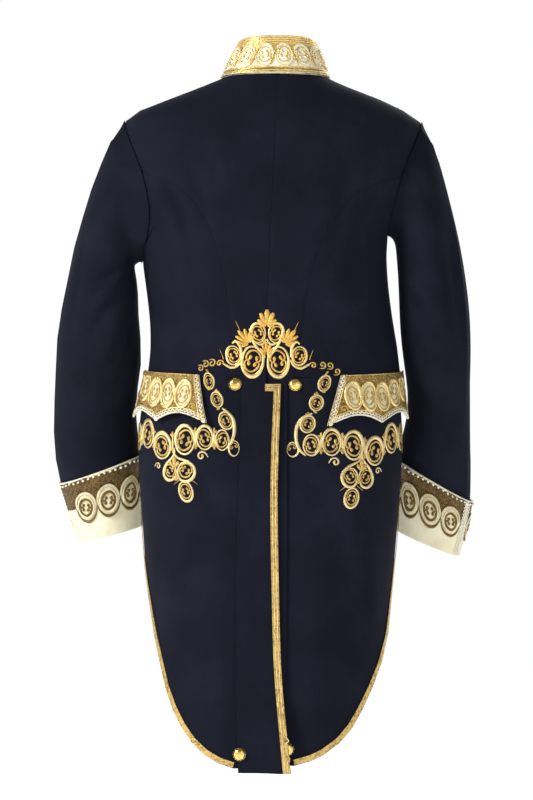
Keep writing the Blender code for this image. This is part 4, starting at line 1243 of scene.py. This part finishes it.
RING_UP = 0.535
RING_HALF = (17.4, 23.6)
RING_ROOM = 17
PEARL = 1.75
PEARL_STEP = 7.4
PEARL_DOWN = 4.6
CUFF_RING_START = {"left": -29.5, "right": 32.0}
CUFF_RING_STEP = 34.6
SLIT_TURN = {"left": -80.3, "right": 58.5}
SLIT_ROOM = 25.0
SLIT_SHARE = 0.75
SLIT_OPENING = 2.4
SLIT_EDGE = 2.2
TURNS = range(-180, 181, 3)
DOWNS = np.linspace(-0.35, 1.35, 120)
# The arches over a roundel from the outside in, as shares of its size with their half widths
ARCHES = ((1.01, 0.55), (0.93, 1.05), (0.885, 0.5), (0.84, 1.0), (0.795, 0.5))
for side, way in SIDES:
    cuff_tree = surface_of(coat["cuff_" + side])
    place, (kept, arcs), height = band_chart(cuff_tree, cuff_spoke(side), TURNS, DOWNS, SLIT_SHARE)
    first, last = arcs[0], arcs[-1]
    slit = float(np.interp(SLIT_TURN[side], kept, arcs))
    ring_height = height * RING_UP
    cuff = "cuff_" + side
    near_side, far_side = (first + 1, slit - SLIT_EDGE), (slit + SLIT_EDGE, last - 1)
    for name, span in (("_ground", near_side), ("_ground_far", far_side)):
        patch(cuff + name, span, ring_height, height - 1.0, place, cuff_purl)
    piping = [[(x, height - 0.7, 0.7) for x in np.arange(first + 1.5, last - 1.5, 4.0)]]
    cords(cuff + "_piping", piping, place, white_silk, 0.9, 0.4)
    spots = [(x, height - PEARL_DOWN) for x in np.arange(first + 3, last - 3, PEARL_STEP)]
    beads(cuff + "_pearls", spots, PEARL, place, pearl)
    # The row runs from its start away from the slit, and again from the slit's other side
    centres = []
    away = -1 if slit > CUFF_RING_START[side] else 1
    for x, step in ((CUFF_RING_START[side], away), (slit - away * SLIT_ROOM, -away)):
        while first + RING_ROOM < x < last - RING_ROOM:
            centres.append(x)
            x += step * CUFF_RING_STEP
    across, up = RING_HALF
    ovals = [(x, ring_height, across * 0.95, up * 0.95) for x in centres]
    oval_grounds(cuff + "_ovals", ovals, place, cream_silk, 0.3)
    crescents, whirls = [], []
    for x in centres:
        for share, half in ARCHES:
            lift = up * (share if share > 0.9 else share + 0.02)
            over = arch(x, ring_height, across * share, lift, range(-10, 191, 18), lambda _: half)
            (crescents if half > 0.9 else whirls).append(over)
        low = (x, ring_height, across * 0.96, up * 0.96, range(178, 363, 15))
        whirls.append(arch(*low, lambda angle: 0.7 + 1.5 * abs(math.sin(angle)) ** 2))
        crescents.append(band(x, ring_height - 1.6, across * 0.80, up * 0.74, -90, 0.17, 0.08))
        whirls.append(band(x, ring_height - 0.6, across * 0.66, up * 0.62, 90, 0.12, 0.085))
        whirls += whirl(x, ring_height - 0.6, across * 0.60, up * 0.56, way * 14, 1.12)
    cords(cuff + "_crescents", crescents, place, cream_silk, 0.8, 0.7)
    cords(cuff + "_whirls", whirls, place, bronze, flat=0.8, sink=0.95)
    braid = []
    heights = np.arange(1.0, height - 1.0, 2.6)
    opening = [0.5 + SLIT_OPENING * (1 - y / height) for y in heights]
    wave = [3.4 if n % 2 else 5.8 for n in range(len(heights))]
    for out in (1, -1):
        braid.append([(slit + out * (gap + 1.0), y, 0.8) for y, gap in zip(heights, opening)])
        braid.append([(slit + out * (gap + rise), y, 0.85) for y, gap, rise in zip(heights, opening, wave)])
    cords(cuff + "_braid", braid, place, white_silk, 0.8, 0.6)

# Embroidery of the collar: a gold edge, a row of roundels in white and gold over a gold ground, and
# a gilt lace along the neck seam. The lower edge between the roundels stays bare.
NECK = Vector((10.5, 4, 0))
COLLAR_RING = (13.8, 15.6)
COLLAR_STEP = 26.8
COLLAR_START = 9.0
COLLAR_ROOM = 12
COLLAR_TOP = 60
COLLAR_DROP = 75
COLLAR_REACH = 120


def collar_spoke(turn, down):
    angle = math.radians(turn)
    out = Vector((math.sin(angle), -math.cos(angle), 0))
    middle = NECK + Vector((0, 0, COLLAR_TOP - COLLAR_DROP * down))
    return (middle + out * COLLAR_REACH) * MM, middle * MM


collar_tree = surface_of(coat["collar"])
collar_turns = range(-176, 177, 2)
place, (_, arcs), height = band_chart(collar_tree, collar_spoke, collar_turns, np.linspace(0, 1.3, 160))
first, last = arcs[0], arcs[-1]
ring_height = height * 0.50
collar_gold = new_gold("collar_gold", (0.36, 0.20, 0.03), (0.88, 0.62, 0.18), (0.25, 0.45), 420, 0.0003)
span = (first + 0.6, last - 0.6)
patch("collar_ground", span, ring_height - 1, height - 0.8, place, collar_gold)
patch("collar_lace", span, 0.8, 9.6, place, lace_gold, rows=4)
stripes = []
for line in (height - 0.9, height - 3.6, height - 6.4, height - 9.4, 1.4, 5.2, 9.0):
    stripes.append([(x, line, 0.8) for x in np.arange(span[0] + 1, span[1] - 1, 5.0)])
cords("collar_stripes", stripes, place, pale_gold, flat=0.8, sink=0.3)
centres = [COLLAR_START + n * COLLAR_STEP for n in range(-9, 10)]
centres = [x for x in centres if first + COLLAR_ROOM < x < last - COLLAR_ROOM]
across, up = COLLAR_RING
ovals = [(x, ring_height, across * 0.94, up * 0.94) for x in centres]
oval_grounds("collar_ovals", ovals, place, white_silk, 0.4)
bands, whirls = [], []
for n, x in enumerate(centres):
    bands.append(band(x, ring_height, across, up, 90 if n % 2 else 60, 0.15, 0.10))
    whirls += whirl(x, ring_height, across * 0.72, up * 0.72, 14 * (-1) ** n)
cords("collar_rings", bands, place, cream_silk, 0.8, 0.7)
cords("collar_whirls", whirls, place, pale_gold, flat=0.8, sink=0.8)
# Slanting strokes link each roundel with the next, and lean towards the centre back on both sides
LINK = ((-5.5, -13.0, 0.9), (-2.0, -5.0, 1.7), (2.0, 5.0, 1.7), (5.5, 13.0, 0.9))
links = []
for x, following in zip(centres, centres[1:]):
    middle = (x + following) / 2
    lean = 1 if middle < 0 else -1
    links.append([(middle + px * lean, ring_height + py, half) for px, py, half in LINK])
cords("collar_links", links, place, thread_gold, flat=0.8, sink=1.0)

# Plain pale floor and soft studio light. A key lamp stands behind the coat's left shoulder, a weaker
# one fills from the right, one lights the front, and the room is white round the horizon.
FLOOR = -1.5
FLOOR_HALF = 7.0
ROOM_DIM = 0.22
ROOM_WHITE = 1.0
BAND_WHITE = 0.20
BAND_DIM = 0.42

paper = Look("studio_paper", Base_Color=(0.9, 0.9, 0.9, 1), Roughness=0.9, Specular_IOR_Level=0.1)
paper.feed(paper.shader, {"Emission Color": (1, 1, 1, 1), "Emission Strength": 0.74})
bpy.ops.object.select_all(action="DESELECT")
bpy.ops.mesh.primitive_plane_add(size=2 * FLOOR_HALF, location=(0, 0, FLOOR))
floor = bpy.context.object
floor.name = "studio_floor"
bpy.ops.object.transform_apply(location=True, rotation=False, scale=False)
floor.data.materials.append(paper.owner)

world = bpy.data.worlds.new("studio")
bpy.context.scene.world = world
room = Look("studio", world, "Background", Color=(1, 1, 1, 1))
direction = room.add("SeparateXYZ", Vector=room.coordinates["Generated"])
level = room.add("Math", Value=direction.outputs["Z"])
level.operation = "ABSOLUTE"
span = {"From_Min": BAND_WHITE, "From_Max": BAND_DIM, "To_Min": ROOM_WHITE, "To_Max": ROOM_DIM}
falloff = room.add("MapRange", Value=level.outputs["Value"], **span)
room.feed(room.shader, {"Strength": falloff.outputs["Result"]})

for name, place, size, power in (
    ("key", (-3.0, -1.9, 1.2), 1.0, 120),
    ("fill", (1.6, -3.4, 0.4), 2.0, 16),
    ("front", (0.9, 2.5, 1.4), 2.0, 42),
):
    bpy.ops.object.light_add(type="AREA", location=place)
    lamp = bpy.context.object
    lamp.name = name
    lamp.data.size = size
    lamp.data.energy = power
    aim = Vector((0, 0, -0.45)) - Vector(place)
    lamp.rotation_euler = aim.to_track_quat("-Z", "Y").to_euler()

bpy.context.scene.view_settings.view_transform = "Standard"
